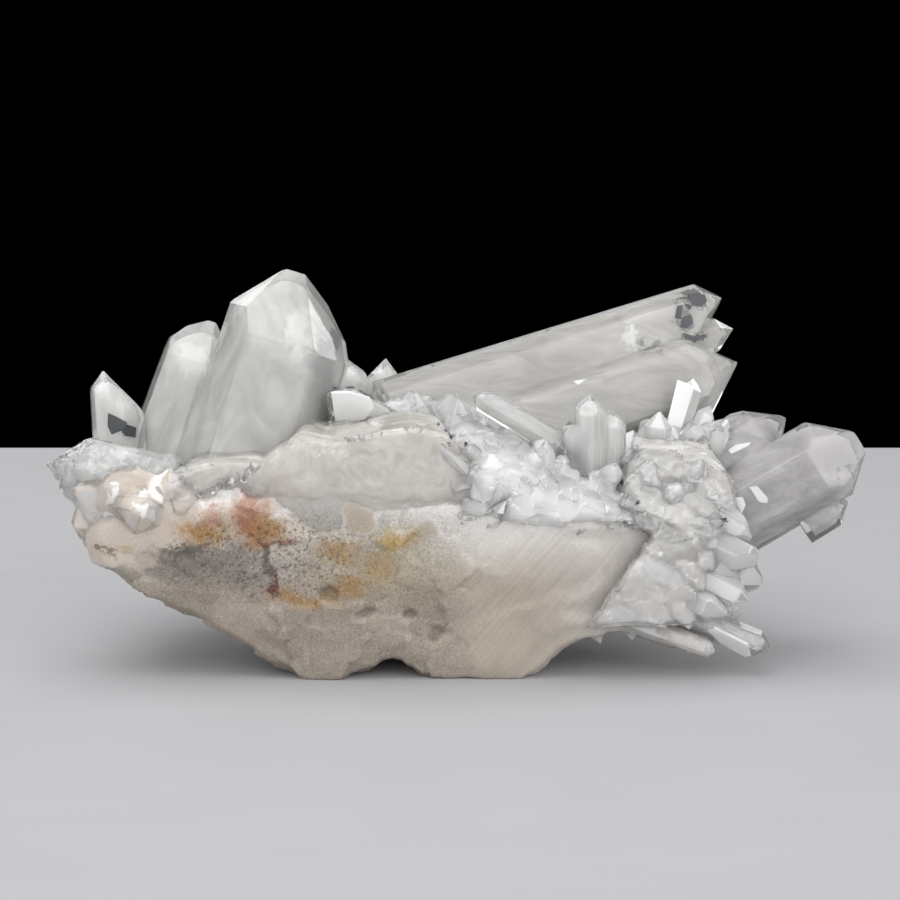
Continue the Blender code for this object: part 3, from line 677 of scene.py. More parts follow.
def scattered(centre, spread, heading, count, length, width, seat=Vector):
    """A patch of druse: crystals strewn round a centre, leaning about one heading."""
    for _ in range(count):
        foot = seat(Vector([c + s * rng.uniform(-1, 1) for c, s in zip(centre, spread)]))
        aim = Vector([h + rng.gauss(0, DRUSE_SCATTER) for h in heading]).normalized()
        caps = [rng.uniform(*DRUSE_CAPS) for _ in range(6)]
        sides = [rng.uniform(*DRUSE_SIDES) for _ in range(6)]
        tip = foot + aim * rng.uniform(*length)
        across, turn = rng.uniform(*width), rng.uniform(0, 60)
        yield corners_of(crystal_planes(tip, foot - aim * DRUSE_ROOT, across, turn, sides, caps,
                                        rng.uniform(*DRUSE_TAPER)))


stumps, lumps_left, ribs, nubs = [
    [grown(*crystal) for crystal in crystals]
    for crystals in (LARGE_STUMPS, LEFT_LUMPS, RIGHT_RIBS, UNDER_NUBS)]
druse = [list(scattered(*row)) for row in DRUSE_PATCHES]
print("small crystals:", len(stumps) + len(lumps_left) + len(ribs) + len(nubs) + sum(map(len, druse)))

# %% [markdown]
# ## The broken base
#
# Milky quartz breaks with an uneven, sugary face. The base is built as sections of one
# outline, closed at both ends. Blunt knobs break up its upper edge, all is melted into one
# even skin of points, and noise pushes that skin in and out. An even skin matters, because
# a relief can only show what the points can carry. Sculpting by hand would do as well, but
# nobody could then change the outline.

# %% The outline and its sections
BASE_LEAN, LEAN_HEIGHT, LEAN_CURVE = 2.5, 45.0, 1.3
RIGHT_FALLBACK, FALLBACK_X = 13.0, (28.0, 70.0)
BASE_FRONT, BASE_DEPTH, BASE_HEART = -27.0, 58.0, (-6.0, 27.0)
SECTION_POINTS = 120
BASE_OUTLINE = [
    (-88, 34), (-86.5, 28), (-82, 26), (-78, 21.5), (-71, 19), (-61, 14), (-51.5, 7.5), (-45, 3.5),
    (-39, 1.5), (-34, 0), (-28, 0), (-23, 1.4), (-17.5, 3.6), (-8, 2.0), (-1, 1.0), (6, 1.4),
    (10.5, 0), (17.5, 0), (21, 1.2), (25.5, 6), (31, 9), (40, 10.5), (49, 10.5), (58, 13),
    (66, 18), (68, 24), (68, 31), (65, 38), (56, 41), (40, 43), (25, 45), (8, 47), (-13, 49),
    (-30, 50), (-48, 49), (-62, 48), (-75, 48), (-83, 44), (-88, 39),
]
BASE_SECTIONS = [
    # depth behind the front, then the outline's width, lower half and upper half as shares
    (0.0, 0.55, 0.52, 0.45), (0.0, 0.80, 0.78, 0.64), (0.8, 0.94, 0.95, 0.76), (4.0, 0.99, 1.01, 0.84),
    (11.0, 1.0, 1.02, 0.93), (19.0, 1.0, 1.02, 1.02), (27.0, 0.98, 1.02, 1.14), (35.0, 0.93, 1.0, 1.2),
    (43.0, 0.84, 0.92, 1.12), (50.0, 0.68, 0.74, 0.92), (55.0, 0.46, 0.5, 0.62),
    (BASE_DEPTH, 0.22, 0.24, 0.3),
]


def glide(value, low, high):
    """Nothing below the low limit, one above the high one, smooth between."""
    share = min(1.0, max(0.0, (value - low) / (high - low)))
    return share * share * (3 - 2 * share)


def resample(outline, count):
    """Points at even steps of length along a closed outline."""
    corners = [Vector(corner) for corner in outline]
    lengths = [(b - a).length for a, b in zip(corners, corners[1:] + corners[:1])]
    points, index, passed = [], 0, 0.0
    for step in range(count):
        goal = sum(lengths) * step / count
        while passed + lengths[index] < goal:
            passed += lengths[index]
            index += 1
        after = corners[(index + 1) % len(corners)]
        points.append(corners[index].lerp(after, (goal - passed) / lengths[index]))
    return points


def set_back(x, height, depth):
    """How far a point of the base lies behind a plain upright front, fading out to the back."""
    lean = BASE_LEAN * max(0.0, 1 - height / LEAN_HEIGHT) ** LEAN_CURVE
    return (lean + RIGHT_FALLBACK * glide(x, *FALLBACK_X)) * (1 - depth / BASE_DEPTH)


def base_loft():
    bm = bmesh.new()
    rings = []
    for depth, wide, low, high in BASE_SECTIONS:
        ring = []
        for x, z in resample(BASE_OUTLINE, SECTION_POINTS):
            across = BASE_HEART[0] + (x - BASE_HEART[0]) * wide
            height = BASE_HEART[1] + (z - BASE_HEART[1]) * (high if z > BASE_HEART[1] else low)
            ring.append(bm.verts.new((across, BASE_FRONT + depth + set_back(across, height, depth), height)))
        rings.append(ring)
    for ring, following in zip(rings, rings[1:]):
        for k in range(SECTION_POINTS):
            after = (k + 1) % SECTION_POINTS
            bm.faces.new((ring[k], ring[after], following[after], following[k]))
    bm.faces.new(rings[0])
    bm.faces.new(rings[-1])
    bmesh.ops.recalc_face_normals(bm, faces=bm.faces)
    return bm


# %% Melt the base, its knobs and its nubs into one skin
KNOBS = [
    # Blunt knobs where the front turns to the top: centre and half sizes
    ((3, -18, 42.5), (6, 8.5, 6)), ((11, -18, 39.5), (6, 9, 6)), ((19, -18, 41), (5, 8.6, 5)),
    ((27, -17.5, 38.5), (6, 8.6, 6)), ((35, -17, 39.5), (5, 7.6, 5.5)), ((43, -15, 37), (6, 7.6, 6)),
    ((51, -13, 38), (5, 7.6, 5)), ((58, -11, 35.5), (6, 7, 6)), ((65, -9, 36.5), (4.5, 6.5, 4.5)),
    ((-6, -18.5, 42), (6, 8.6, 6)), ((-45, -18, 44.5), (6, 8.6, 5)), ((-54, -18, 43), (7, 8.6, 5.5)),
    ((-67, -19, 44), (6, 7.6, 5)), ((-78, -16, 41), (8, 11, 8)), ((-83, -14, 33), (7, 10, 7)),
    ((-72, -18, 34), (8, 9, 7)), ((60, -12, 28), (9, 10, 7)), ((66, -8, 22), (7, 10, 6)),
    ((52, -14, 22), (9, 10, 7)),
]
BASE_STEP, KNOB_WEAR = 0.72, 0.4   # squares of the skin, and bevel of the knobs, in mm
chance = random.Random(5)


def knob(centre, sizes, points=26):
    """A blunt knob with flats that chance sets, as corners of its hull."""
    aims = [Vector([chance.gauss(0, 1) for _ in range(3)]).normalized() for _ in range(points)]
    return [[c + a * size for c, a, size in zip(centre, aim, sizes)] for aim in aims]


bm = base_loft()
shells = bmesh.new()
for corners in nubs + [knob(*size) for size in KNOBS]:
    add_hull(shells, corners, KNOB_WEAR)
bmesh.ops.transform(shells, matrix=TO_SPECIMEN, verts=shells.verts)
melt = bpy.data.meshes.new("melt")
shells.to_mesh(melt)
bm.from_mesh(melt)
base_skin = even_skin(bm, BASE_STEP)

# %% [markdown]
# ## Grains of the break
#
# The front is a section through many grains. Each is seen as a patch with its own level,
# its own tone and its own gloss: glassy and near white where one clear crystal was cut
# through, matt and beige where the quartz is sugary. One table states them, and both the
# relief and the colour are read from it.

# %% The grains that show at the front
Grain = namedtuple("Grain", "outline raised rough colour gloss")
GRAINS = [Grain(*row) for row in [
    # outline in x and z, raised by, how much of the roughness shows, colour, gloss
    ([(-25.6, 42.4), (-21.6, 42.9), (-18.2, 40.5), (-17.9, 36.5), (-26.1, 35.8)], 0.3, 0.5, "#B8AEA1", 0.6),
    ([(-9.3, 39.3), (-5.8, 40.3), (-3.9, 37.2), (-4.1, 35.1), (-8.8, 35.5)], 0.3, 0.5, "#BDB4A9", 0.6),
    ([(-43.9, 40.3), (-41.5, 41.2), (-36.2, 38.6), (-34.6, 35.5), (-36.2, 33.9), (-40.9, 34.3),
      (-43.9, 36.7)],
     0.6, 0.8, "#A6957E", 0.2),
    ([(-47.7, 46.2), (-40.0, 48.6), (-40.8, 42.0), (-45.0, 41.0), (-50.6, 42.0)], 0.4, 0.6, "#C9BEB6", 0.8),
    ([(-56.5, 19.7), (-44.0, 18.8), (-42.4, 12.5), (-41.3, 9.8), (-38.7, 9.6), (-38.8, 3.5), (-45.6, 6.4),
      (-54.2, 12.0)], 0.0, 0.5, "#B2A899", 0.35),
    ([(-43.1, 17.6), (-36.5, 18.3), (-21.1, 19.7), (-20.7, 10.0), (-27.2, -0.2), (-36.7, 1.3), (-38.8, 3.5),
      (-38.7, 9.6), (-41.3, 9.8)], 0.7, 0.8, "#A79C8F", 0.12),
    ([(-20.2, 16.3), (-11.7, 15.6), (-11.0, 10.5), (-16.7, 7.6), (-20.2, 12.7)], 0.4, 0.5, "#B2A99D", 0.4),
    ([(31.1, 13.0), (34.4, 17.8), (42.8, 28.4), (46.0, 32.5), (57.8, 34.9), (67.2, 32.5), (70.1, 28.9),
      (71.5, 21.7), (69.9, 19.8), (59.1, 13.4), (50.5, 15.9), (43.0, 13.9)], 0.3, 1.0, "#C9C5C1", 0.8),
    ([(34.9, 19.3), (49.5, 18.8), (50.5, 15.9), (43.0, 14.4), (34.9, 13.4)], 0.6, 0.4, "#C6C1BC", 0.8),
    ([(-92, 52), (-60, 50), (-61, 33), (-66, 30), (-74, 27), (-92, 27)], 0.2, 1.0, "#CABFB4", 0.85),
]]
GLASSY = 0.7         # a grain with more gloss than this is one smooth break


def inside(outline, x, z):
    """Whether a point lies in the outline, walked round in either sense, by counting crossings."""
    within = False
    for (x1, z1), (x2, z2) in zip(outline, outline[1:] + outline[:1]):
        if (z1 > z) != (z2 > z) and x < x1 + (z - z1) * (x2 - x1) / (z2 - z1):
            within = not within
    return within


def grain_at(point):
    """The last grain of the table that holds the point, its rim bent to and fro by noise."""
    bend = 1.0 * noise.noise(point / 2.2) + 1.6 * noise.noise(point / 6.0)
    holding = [grain for grain in GRAINS if inside(grain.outline, point.x + bend, point.z - bend)]
    return holding[-1] if holding else None


print("grains:", len(GRAINS))

# %% [markdown]
# ## The relief of the break
#
# Quartz has no cleavage: it breaks in shallow shells, and where many grains lie together
# the shells become small plates with crisp steps between them. The plates are cells of a
# Voronoi pattern, each raised and tilted a little its own way. The right half of the front
# was one sawn-looking break and stays calm.

# %% How far each point moves out
BROAD_BUMPS = ((23.0, 1.3), (10.0, 1.0), (4.6, 0.55))   # how far apart the bumps lie, and their height
LEDGE_SIZE, LEDGE_RISE, LEDGE_EDGE = (17.0, 11.0), 1.3, 0.12
FRONT_SHARE = 0.27     # of the broad bumps, this share shows at the front
SUGAR_PLATES, FRONT_PLATES, SIDE_PLATES = (2.4, 0.10, 0.08), (9.0, 0.16, 0.4), (6.0, 0.3, 0.4)
FACES_FRONT = 0.35     # how squarely a point faces the front before it counts as front
PITS = [
    # centre and radius
    ((-21.1, -22.5, 16.6), 1.7), ((-11.2, -22.5, 15.9), 1.5), ((-4.4, -20.5, 11.7), 1.8),
    ((-82.8, -21, 31.7), 2.2), ((-75.7, -23.5, 32.2), 1.7), ((-30, -22.5, 21), 1.8),
]
PIT_DEPTH, PIT_RIM, PIT_FLATTENED = 1.9, 1.2, 1.35


def plates(point, size, tilt, step):
    """Height of broken plates, each raised and tilted its own way."""
    nearest = noise.voronoi(point / size)[1][0]
    seed = nearest * 7.31
    lie = [noise.noise(seed + Vector(offset)) for offset in ((0, 0, 0), (5, 0, 0), (0, 5, 0))]
    return (point - nearest * size).dot(Vector(lie)) * tilt + step * noise.noise(seed + Vector((0, 0, 5)))


def relief(point, facing, grain):
    """How far a point moves out, from its place, how squarely it faces front, and its grain."""
    if grain and grain.gloss > GLASSY:
        return 0.45 * noise.noise(point / 12.0) + 0.12 * noise.noise(point / 4.0) + grain.raised
    broad = sum(rise * noise.noise(point / spacing + Vector((7, 3, 1)) * layer)
                for layer, (spacing, rise) in enumerate(BROAD_BUMPS))
    wander = Vector((noise.noise(point / 3.0), 0, noise.noise(point / 3.0 + Vector((4, 4, 4)))))
    sugar = plates(point + wander * 0.5, *SUGAR_PLATES) + 0.07 * noise.noise(point)
    if facing < FACES_FRONT:
        rough = plates(point + wander * 1.2, *SIDE_PLATES)
        return (broad * 0.7 + rough) * (1 - 0.6 * glide(point.x, 30, 45)) + sugar
    calm = 1 - 0.75 * glide(point.x, -6, 14) * glide(facing, 0.3, 0.6)
    field = noise.noise(Vector((point.x / LEDGE_SIZE[0], 3.1, point.z / LEDGE_SIZE[1])))
    height = (broad + 0.5 * LEDGE_RISE * min(1.0, max(0.0, field / LEDGE_EDGE + 0.5))) * FRONT_SHARE
    height = (height + plates(point + wander * 1.6, *FRONT_PLATES)) * calm + sugar * (0.4 + 0.6 * calm)
    if grain:
        height = height * grain.rough + grain.raised
    for centre, radius in PITS:
        away = Vector((point.x + wander.x * 1.5 - centre[0],
                       (point.z + wander.z * 1.5 - centre[2]) * PIT_FLATTENED)).length / radius
        if away < PIT_RIM:
            height -= PIT_DEPTH * (1 - (away / PIT_RIM) ** 3)
    return height


# %% The feet and the lower edge
FEET_X, FEET_Y = ((-35.0, -28.0), (9.0, 14.5)), (-24.0, 20.0)
FOOT_SINK, FOOT_HEIGHT, FOOT_RIM = 2.0, 3.0, 3.5
LOW_EDGE = (5, 14)                                # heights between which these moves fade out
SUNK_X, SUNK_BY = (-11, -7, 6, 10), 2.0           # between the feet the edge hangs lower
RAISED_X, RAISED_BY = (-20, -14.5, -13, -11), 1.4   # and left of that it arches


def between(x, reach):
    """One in the middle of a reach and nothing outside it, smooth at both ends."""
    return glide(x, reach[0], reach[1]) * (1 - glide(x, reach[2], reach[3]))


def settled(start, moved):
    """The moved point, let down onto the feet and shaped along the lower edge."""
    if start.z < 3 * FOOT_HEIGHT and FEET_Y[0] - 4 < start.y < FEET_Y[1] + 4:
        reach = min(max(a - start.x, start.x - b, FEET_Y[0] - start.y, start.y - FEET_Y[1], 0)
                    for a, b in FEET_X)
        near_foot = 1 - glide(reach, 0, FOOT_RIM)
        moved.z -= FOOT_SINK * near_foot * (1 - glide(start.z, FOOT_HEIGHT, 3 * FOOT_HEIGHT))
    low_down = 1 - glide(start.z, *LOW_EDGE)
    moved.z += (RAISED_BY * between(start.x, RAISED_X) - SUNK_BY * between(start.x, SUNK_X)) * low_down
    moved.z = max(moved.z, 0.0)
    return moved


# %% Push the skin in and out, and note colour and gloss
# Above this height the base is made near white: partly the quartz's own white upper zone, partly painted
# light lifting the shade along the top edge
WHITE_AND_PAINTED_LIGHT_FROM = 37.0      # above this height the quartz is near white
UPPER_WHITE_WITH_PAINTED_LIGHT, LOWER, RIGHT_END = tone("#E0DDD9"), tone("#B4AA9E"), tone("#C6C2BE")

normals = [vert.normal.copy() for vert in base_skin.vertices]
looks = np.zeros((len(base_skin.vertices), 5), dtype=np.float32)   # four of colour, then the gloss
for index, (vert, normal) in enumerate(zip(base_skin.vertices, normals)):
    start = vert.co.copy()
    facing_front = normal.y < -0.3 and start.y < -6
    grain = grain_at(start) if facing_front else None
    rightward = start.x + 0.5 * start.z
    if grain:
        colour, gloss = tone(grain.colour), grain.gloss
    else:
        colour = RIGHT_END if rightward > 56 else UPPER_WHITE_WITH_PAINTED_LIGHT if start.z > WHITE_AND_PAINTED_LIGHT_FROM else LOWER
        gloss = max(0.6 * glide(start.z, 38, 43), 0.85 * glide(rightward, 50, 62),
                    0.32 * glide(start.x, -8, 8) if facing_front else 0)
    looks[index] = (*colour, gloss)
    vert.co = place(settled(start, start + normal * relief(start, -normal.y, grain)))
print("points in grains or glossy:", int((looks[:, 4] > 0).sum()))

# %% Soften the borders of colour and gloss
ROUNDS = 2   # each mixes a point with its neighbours, half and half
ends = np.empty(2 * len(base_skin.edges), dtype=np.int32)
base_skin.edges.foreach_get("vertices", ends)
ends = ends.reshape(-1, 2)
degree = np.bincount(ends.ravel(), minlength=len(looks)).astype(np.float32)[:, None]
for _ in range(ROUNDS):
    total = np.zeros_like(looks)
    np.add.at(total, ends[:, 0], looks[ends[:, 1]])
    np.add.at(total, ends[:, 1], looks[ends[:, 0]])
    looks = (looks + total / degree) / 2
colours, glosses = np.ascontiguousarray(looks[:, :4]), np.ascontiguousarray(looks[:, 4])
base_skin.attributes.new("grain_colour", "FLOAT_COLOR", "POINT").data.foreach_set("color", colours.ravel())
base_skin.attributes.new("grain_gloss", "FLOAT", "POINT").data.foreach_set("value", glosses)
print("borders softened:", ROUNDS, "rounds")

# %% [markdown]
# ## The colour of the break
#
# Fresh milky quartz is off-white, greyer where grains of other minerals are mixed in. Iron
# that seeped along the cracks left ochre, rust and near-black films. Those are soft-edged
# patches, and the cracks themselves are thin lines between two points. The sugary grain
# is drawn as dim specks half a millimetre apart, which is its real size, and the same specks
# roughen the surface, so that they also catch the light.

# %% Milky quartz: its tones from bottom to top and left to right
# Broken sugary quartz gives a soft matt face that glows a little from within
milky, tree, shader = new_material("milky_quartz_with_iron_stains", {
    "IOR": QUARTZ_IOR, "Subsurface Weight": 0.7, "Subsurface Scale": 7.0 * MM,
    "Subsurface Radius": (1.0, 0.92, 0.84)})
spot = add(tree, "ShaderNodeTexCoord").outputs["Object"]
ragged = wandering(tree, spot, 7.0, 4.0)
speckled = wandering(tree, wandering(tree, ragged, 1.8, 3.2), 0.55, 2.2, 1.0)
parts = add(tree, "ShaderNodeSeparateXYZ", {"Vector": ragged})
across, height = parts.outputs["X"], parts.outputs["Z"]
clouds = add(tree, "ShaderNodeTexNoise", {"Vector": spot, "Scale": 70.0, "Detail": 4.0})
colour = add(tree, "ShaderNodeValToRGB", {"Fac": clouds.outputs["Fac"]}, [(0.3, "#AA9F92"), (0.7, "#B8AEA2")])
# Lighter towards the top: partly the quartz's own colour, partly painted light lifting the shade below the
# top edge
colour = wash(tree, colour.outputs["Color"], "#E3E0DC", height, 39 * MM, 22 * MM)
colour = wash(tree, colour, "#C2BDB7", across, 36 * MM, 12 * MM, 0.85)
cells = add(tree, "ShaderNodeTexVoronoi", {"Vector": wandering(tree, spot, 5.0, 2.6), "Scale": 150.0})
cells = add(tree, "ShaderNodeSeparateColor", {"Color": cells.outputs["Color"]})
cells = add(tree, "ShaderNodeValToRGB", {"Fac": cells.outputs[0]}, [(0.0, "#E4E2E0"), (1.0, "#FFFFFF")])
colour = wash(tree, colour, cells.outputs["Color"], across, -12 * MM, 4 * MM, 0.9, "MULTIPLY")
print("tones laid")

# %% Fine lines on the right, and the grains' own colours
# Fine straight lines run up to the right across the break. They are read from a noise that
# is drawn out along them: about 26 mm along and 0.8 mm across
ALONG, ACROSS = (1.0, 0.0, 1.15), (1.15, 0.0, -1.0)
LINES_ALONG, LINES_ACROSS = 25, 820
run = add(tree, "ShaderNodeVectorMath", {0: ragged, 1: [LINES_ALONG * c for c in ALONG]},
          operation="DOT_PRODUCT")
step = add(tree, "ShaderNodeVectorMath", {0: spot, 1: [LINES_ACROSS * c for c in ACROSS]},
           operation="DOT_PRODUCT")
grid = add(tree, "ShaderNodeCombineXYZ", {"X": run.outputs["Value"], "Y": step.outputs["Value"]})
lines = add(tree, "ShaderNodeTexNoise", {"Vector": grid.outputs[0], "Scale": 1.0, "Detail": 3.0})
line_tone = add(tree, "ShaderNodeValToRGB", {"Fac": lines.outputs["Fac"]},
                [(0.35, "#EAE7E3"), (0.6, "#FFFFFF")])
colour = wash(tree, colour, line_tone.outputs["Color"], across, 4 * MM, -6 * MM, 0.5, "MULTIPLY")
own_colour = add(tree, "ShaderNodeAttribute", attribute_name="grain_colour").outputs["Color"]
gloss = add(tree, "ShaderNodeAttribute", attribute_name="grain_gloss").outputs["Fac"]
colour = wash(tree, colour, own_colour, gloss, 0.6, 0.34)
print("lines and grains laid")

# %% Stains and cracks
STAINS = [
    # centre, radii, colour, strength and softness of the rim
    ((-18, -26, 29), (16, 14, 9), "#AC9F83", 0.55, 0.7),
    ((-50, -26, 37), (15, 14, 5), "#B7A283", 0.6, 0.6),
    ((-57, -26, 25.5), (14, 14, 6.5), "#968C82", 0.85, 0.6),
    ((-62, -26, 29.0), (9, 10, 3.2), "#7E766B", 0.75, 0.7),
    ((-64.4, -26, 31.3), (3.4, 8, 1.3), "#4C4A42", 0.8, 0.7),
    ((-49, -26, 28.5), (4, 9, 4.5), "#8C8580", 0.6, 0.6),
    ((-27.3, -26, 31.0), (4.5, 9, 3), "#B08B4C", 0.7, 0.8),
    ((-17.5, -26, 28), (4, 9, 2.6), "#AD8C50", 0.6, 0.8),
    ((-13.7, -26, 34.2), (4, 9, 2.6), "#C3A04A", 0.75, 0.8),
    ((-25.0, -26, 22.6), (4.5, 9, 2), "#A98347", 0.75, 0.8),
    ((-36.5, -26, 20.2), (7, 9, 1.8), "#A9803F", 0.8, 0.8),
    ((-44.8, -26, 36.0), (4.8, 9, 4), "#A97B3C", 0.85, 0.6),
    ((-58.9, -26, 36.0), (4.6, 9, 3.2), "#AE7F3A", 0.85, 0.6),
    ((-57.5, -26, 40), (2.6, 9, 2.6), "#B98D78", 0.6, 0.6),
    ((-48.5, -26, 40.0), (3.2, 9, 4.6), "#A5613A", 0.75, 0.8),
    ((-82.6, -24, 32.0), (1.6, 5, 1.0), "#6E5F3D", 0.9, 0.4),
    ((-80.1, -24, 31.2), (1.2, 5, 1.4), "#7A6A45", 0.9, 0.4),
    ((-75.8, -24, 32.2), (2.6, 5, 1.2), "#B9A68B", 0.8, 0.4),
]
CRACKS = [
    # from, to, width, colour, strength
    ((-44.4, -26, 33.4), (-43.6, -26, 27), 1.8, "#4E4340", 0.8),
    ((-43.6, -26, 27), (-42.4, -26, 20.5), 1.4, "#5D4640", 0.8),
    ((-43.0, -26, 25), (-42.6, -26, 21), 0.7, "#6E2F2C", 0.8),
    ((-44.0, -26, 32.4), (-36.4, -26, 34.4), 0.9, "#7C3F31", 0.75),
    ((-64, -26, 31.0), (-57.0, -26, 33.4), 1.1, "#55524C", 0.7),
    ((-48.9, -27, 50.0), (-50.8, -27, 45.0), 0.7, "#8E3A36", 0.95),
]


def crack(tree, under, spot, start, end, width, colour, strength=1.0):
    """A thin line of colour along a crack from one point to another, seen from the front."""
    start, end = place(start), place(end)
    run = end - start
    start.y = end.y = run.y = 0.0
    offset = add(tree, "ShaderNodeVectorMath", {0: spot, 1: start}, operation="SUBTRACT").outputs[0]
    flat = add(tree, "ShaderNodeVectorMath", {0: offset, 1: (1, 0, 1)}, operation="MULTIPLY").outputs[0]
    along = add(tree, "ShaderNodeVectorMath", {0: flat, 1: run / run.length_squared}, operation="DOT_PRODUCT")
    held = add(tree, "ShaderNodeMath", {0: along.outputs["Value"], 1: 0.0}, operation="ADD", use_clamp=True)
    nearest = add(tree, "ShaderNodeVectorMath", {0: run, "Scale": held.outputs[0]},
                  operation="SCALE").outputs[0]
    off = add(tree, "ShaderNodeVectorMath", {0: flat, 1: nearest}, operation="DISTANCE").outputs["Value"]
    return wash(tree, under, colour, off, 0.0, width * MM, strength)


for centre, radii, code, strength, soft in STAINS:
    colour = patch(tree, colour, speckled, centre, radii, code, strength, soft)
winding = wandering(tree, wandering(tree, spot, 5.0, 3.0), 0.9, 1.6)
for start, end, width, code, strength in CRACKS:
    colour = crack(tree, colour, winding, start, end, width, code, strength)
print("stains and cracks:", len(STAINS), len(CRACKS))

# %% Specks, sugar and gloss
SPECKS, SUGAR, LUMPS = 1150.0, 1900.0, 420.0   # to a metre: one each 0.9, 0.5 and 2.4 mm
SPECKED = (-44, -26, 30)   # the middle of the part that is full of dark specks
smooth = {"interpolation_type": "SMOOTHSTEP"}

specks = add(tree, "ShaderNodeTexNoise", {"Vector": spot, "Scale": SPECKS, "Detail": 2.0,
                                          "Roughness": 0.7})
specks = add(tree, "ShaderNodeMapRange", {"Value": specks.outputs["Fac"], **limits(0.62, 0.54)}, **smooth)
around = add(tree, "ShaderNodeVectorMath", {0: ragged, 1: place(SPECKED)}, operation="SUBTRACT")
around = add(tree, "ShaderNodeVectorMath", {0: around.outputs[0], 1: (34, 40, 80)}, operation="MULTIPLY")
around = add(tree, "ShaderNodeVectorMath", {0: around.outputs[0]}, operation="LENGTH")
around = add(tree, "ShaderNodeMapRange", {"Value": around.outputs["Value"], **limits(0.5, 1.1, 0.6)},
             **smooth)
dots = add(tree, "ShaderNodeMath", {0: around.outputs["Result"], 1: specks.outputs["Result"]},
           operation="MULTIPLY")
colour = add(tree, "ShaderNodeMix", {"Factor": dots.outputs[0], 6: colour, 7: tone("#4A3D33")},
             data_type="RGBA")

sugar = add(tree, "ShaderNodeTexNoise", {"Vector": spot, "Scale": SUGAR, "Detail": 2.0,
                                         "Roughness": 0.7})
sugar_tone = add(tree, "ShaderNodeValToRGB", {"Fac": sugar.outputs["Fac"]},
                 [(0.36, "#CACACA"), (0.66, "#FFFFFF")])
leftward = add(tree, "ShaderNodeMapRange", {"Value": across, **limits(-6 * MM, 10 * MM, 0.7)}, **smooth)
matt = add(tree, "ShaderNodeMath", {0: 1.0, 1: gloss}, operation="SUBTRACT", use_clamp=True)
matt = add(tree, "ShaderNodeMath", {0: matt.outputs[0], 1: leftward.outputs["Result"]}, operation="MULTIPLY")
matt = add(tree, "ShaderNodeMath", {0: matt.outputs[0], 1: 0.25}, operation="ADD", use_clamp=True).outputs[0]
share = add(tree, "ShaderNodeMath", {0: matt, 1: 0.9}, operation="MULTIPLY")
colour = add(tree, "ShaderNodeMix", {"Factor": share.outputs[0], 6: colour.outputs[2],
                                     7: sugar_tone.outputs[0]},
             data_type="RGBA", blend_type="MULTIPLY")
tree.links.new(colour.outputs[2], shader.inputs["Base Color"])
rough = add(tree, "ShaderNodeMath", {0: gloss, 1: -0.32}, operation="MULTIPLY")
rough = add(tree, "ShaderNodeMath", {0: rough.outputs[0], 1: 0.58}, operation="ADD")
tree.links.new(rough.outputs[0], shader.inputs["Roughness"])

# %% Bumps of the break, from the lines to the sugar
lined = add(tree, "ShaderNodeMapRange", {"Value": across, **limits(2 * MM, -4 * MM, 0.14)}, **smooth)
striped = add(tree, "ShaderNodeBump", {"Height": lines.outputs["Fac"], "Strength": lined.outputs["Result"],
                                       "Distance": 0.5 * MM})
lumps = add(tree, "ShaderNodeTexNoise", {"Vector": spot, "Scale": LUMPS, "Detail": 4.0,
                                         "Roughness": 0.6})
coarse = add(tree, "ShaderNodeBump", {"Height": lumps.outputs["Fac"], "Normal": striped.outputs["Normal"],
                                      "Strength": 0.4, "Distance": 0.4 * MM})
sugar_height = add(tree, "ShaderNodeMath", {0: matt, 1: 0.8}, operation="MULTIPLY")
fine = add(tree, "ShaderNodeBump", {"Height": sugar.outputs["Fac"], "Normal": coarse.outputs["Normal"],
                                    "Strength": sugar_height.outputs[0], "Distance": 0.3 * MM})
tree.links.new(fine.outputs["Normal"], shader.inputs["Normal"])

bm = bmesh.new()
bm.from_mesh(base_skin)
for face in bm.faces:
    face.smooth = True
new_piece("milky_base", bm, milky, ["matrix"], "milky_quartz")

# %% [markdown]
# ## Broken masses
#
# Between the base and the large crystals lie lumps of broken, half-clear quartz: pearly lobes
# in the middle, a rippled mass at the right, a knobbly one at the left and the tangle under
# the druse. They are too irregular for the solid model, which has plain stumps and small
# crystals in these places, so their forms are stated here. Each starts as a few convex
# shells that are melted into one even skin, which is then broken into small flats. As with
# the crystals, a milky lump inside gives it depth. Where the crystals of a lump should stay
# crisp, the skin is made of their own faces instead, and only the milk is melted.

# %% Helpers for broken masses
RIB_RUN = Vector((0.85, -0.27, -0.45)).normalized()   # the way the ribs of the right end run
DRAWN = 0.78                                          # how much a pattern is drawn out along them
CRISP_WEAR, CORE_ROUNDS = 0.5, 6


def crystal_crust(name, shells, material, bevel, slot="clear_quartz", lively=0.3):
    """A piece made of many closed hulls with flat faces, in tones of their own, some painted flashes and dark
    reflections.
    """
    bm = bmesh.new()
    for corners in shells:
        add_hull(bm, corners, bevel)
    tone_faces_with_painted_flashes(bm, lively)
    new_piece(name, bm, material, ["matrix"], slot)


def drawn_out(spot, run):
    """The same place with its run shortened, so that a pattern read there comes out long."""
    return spot - run * spot.dot(run) * DRAWN if run else spot


def tone_flats_with_painted_flashes(bm, size, lively, run):
    """Give whole flats of a broken lump a tone: most near the middle, a few painted flashes and painted dark
    reflections.
    """
    layer = bm.verts.layers.float.new("tone_with_painted_flash")
    for vert in bm.verts:
        draw = noise.cell(noise.voronoi(drawn_out(vert.co, run) / size)[1][0] * 7.31)
        vert[layer] = 0.5 + 0.3 * draw * lively
        if lively > 0.6 and abs(draw) > 0.8:
            vert[layer] = 0.95 if draw > 0 else 0.12


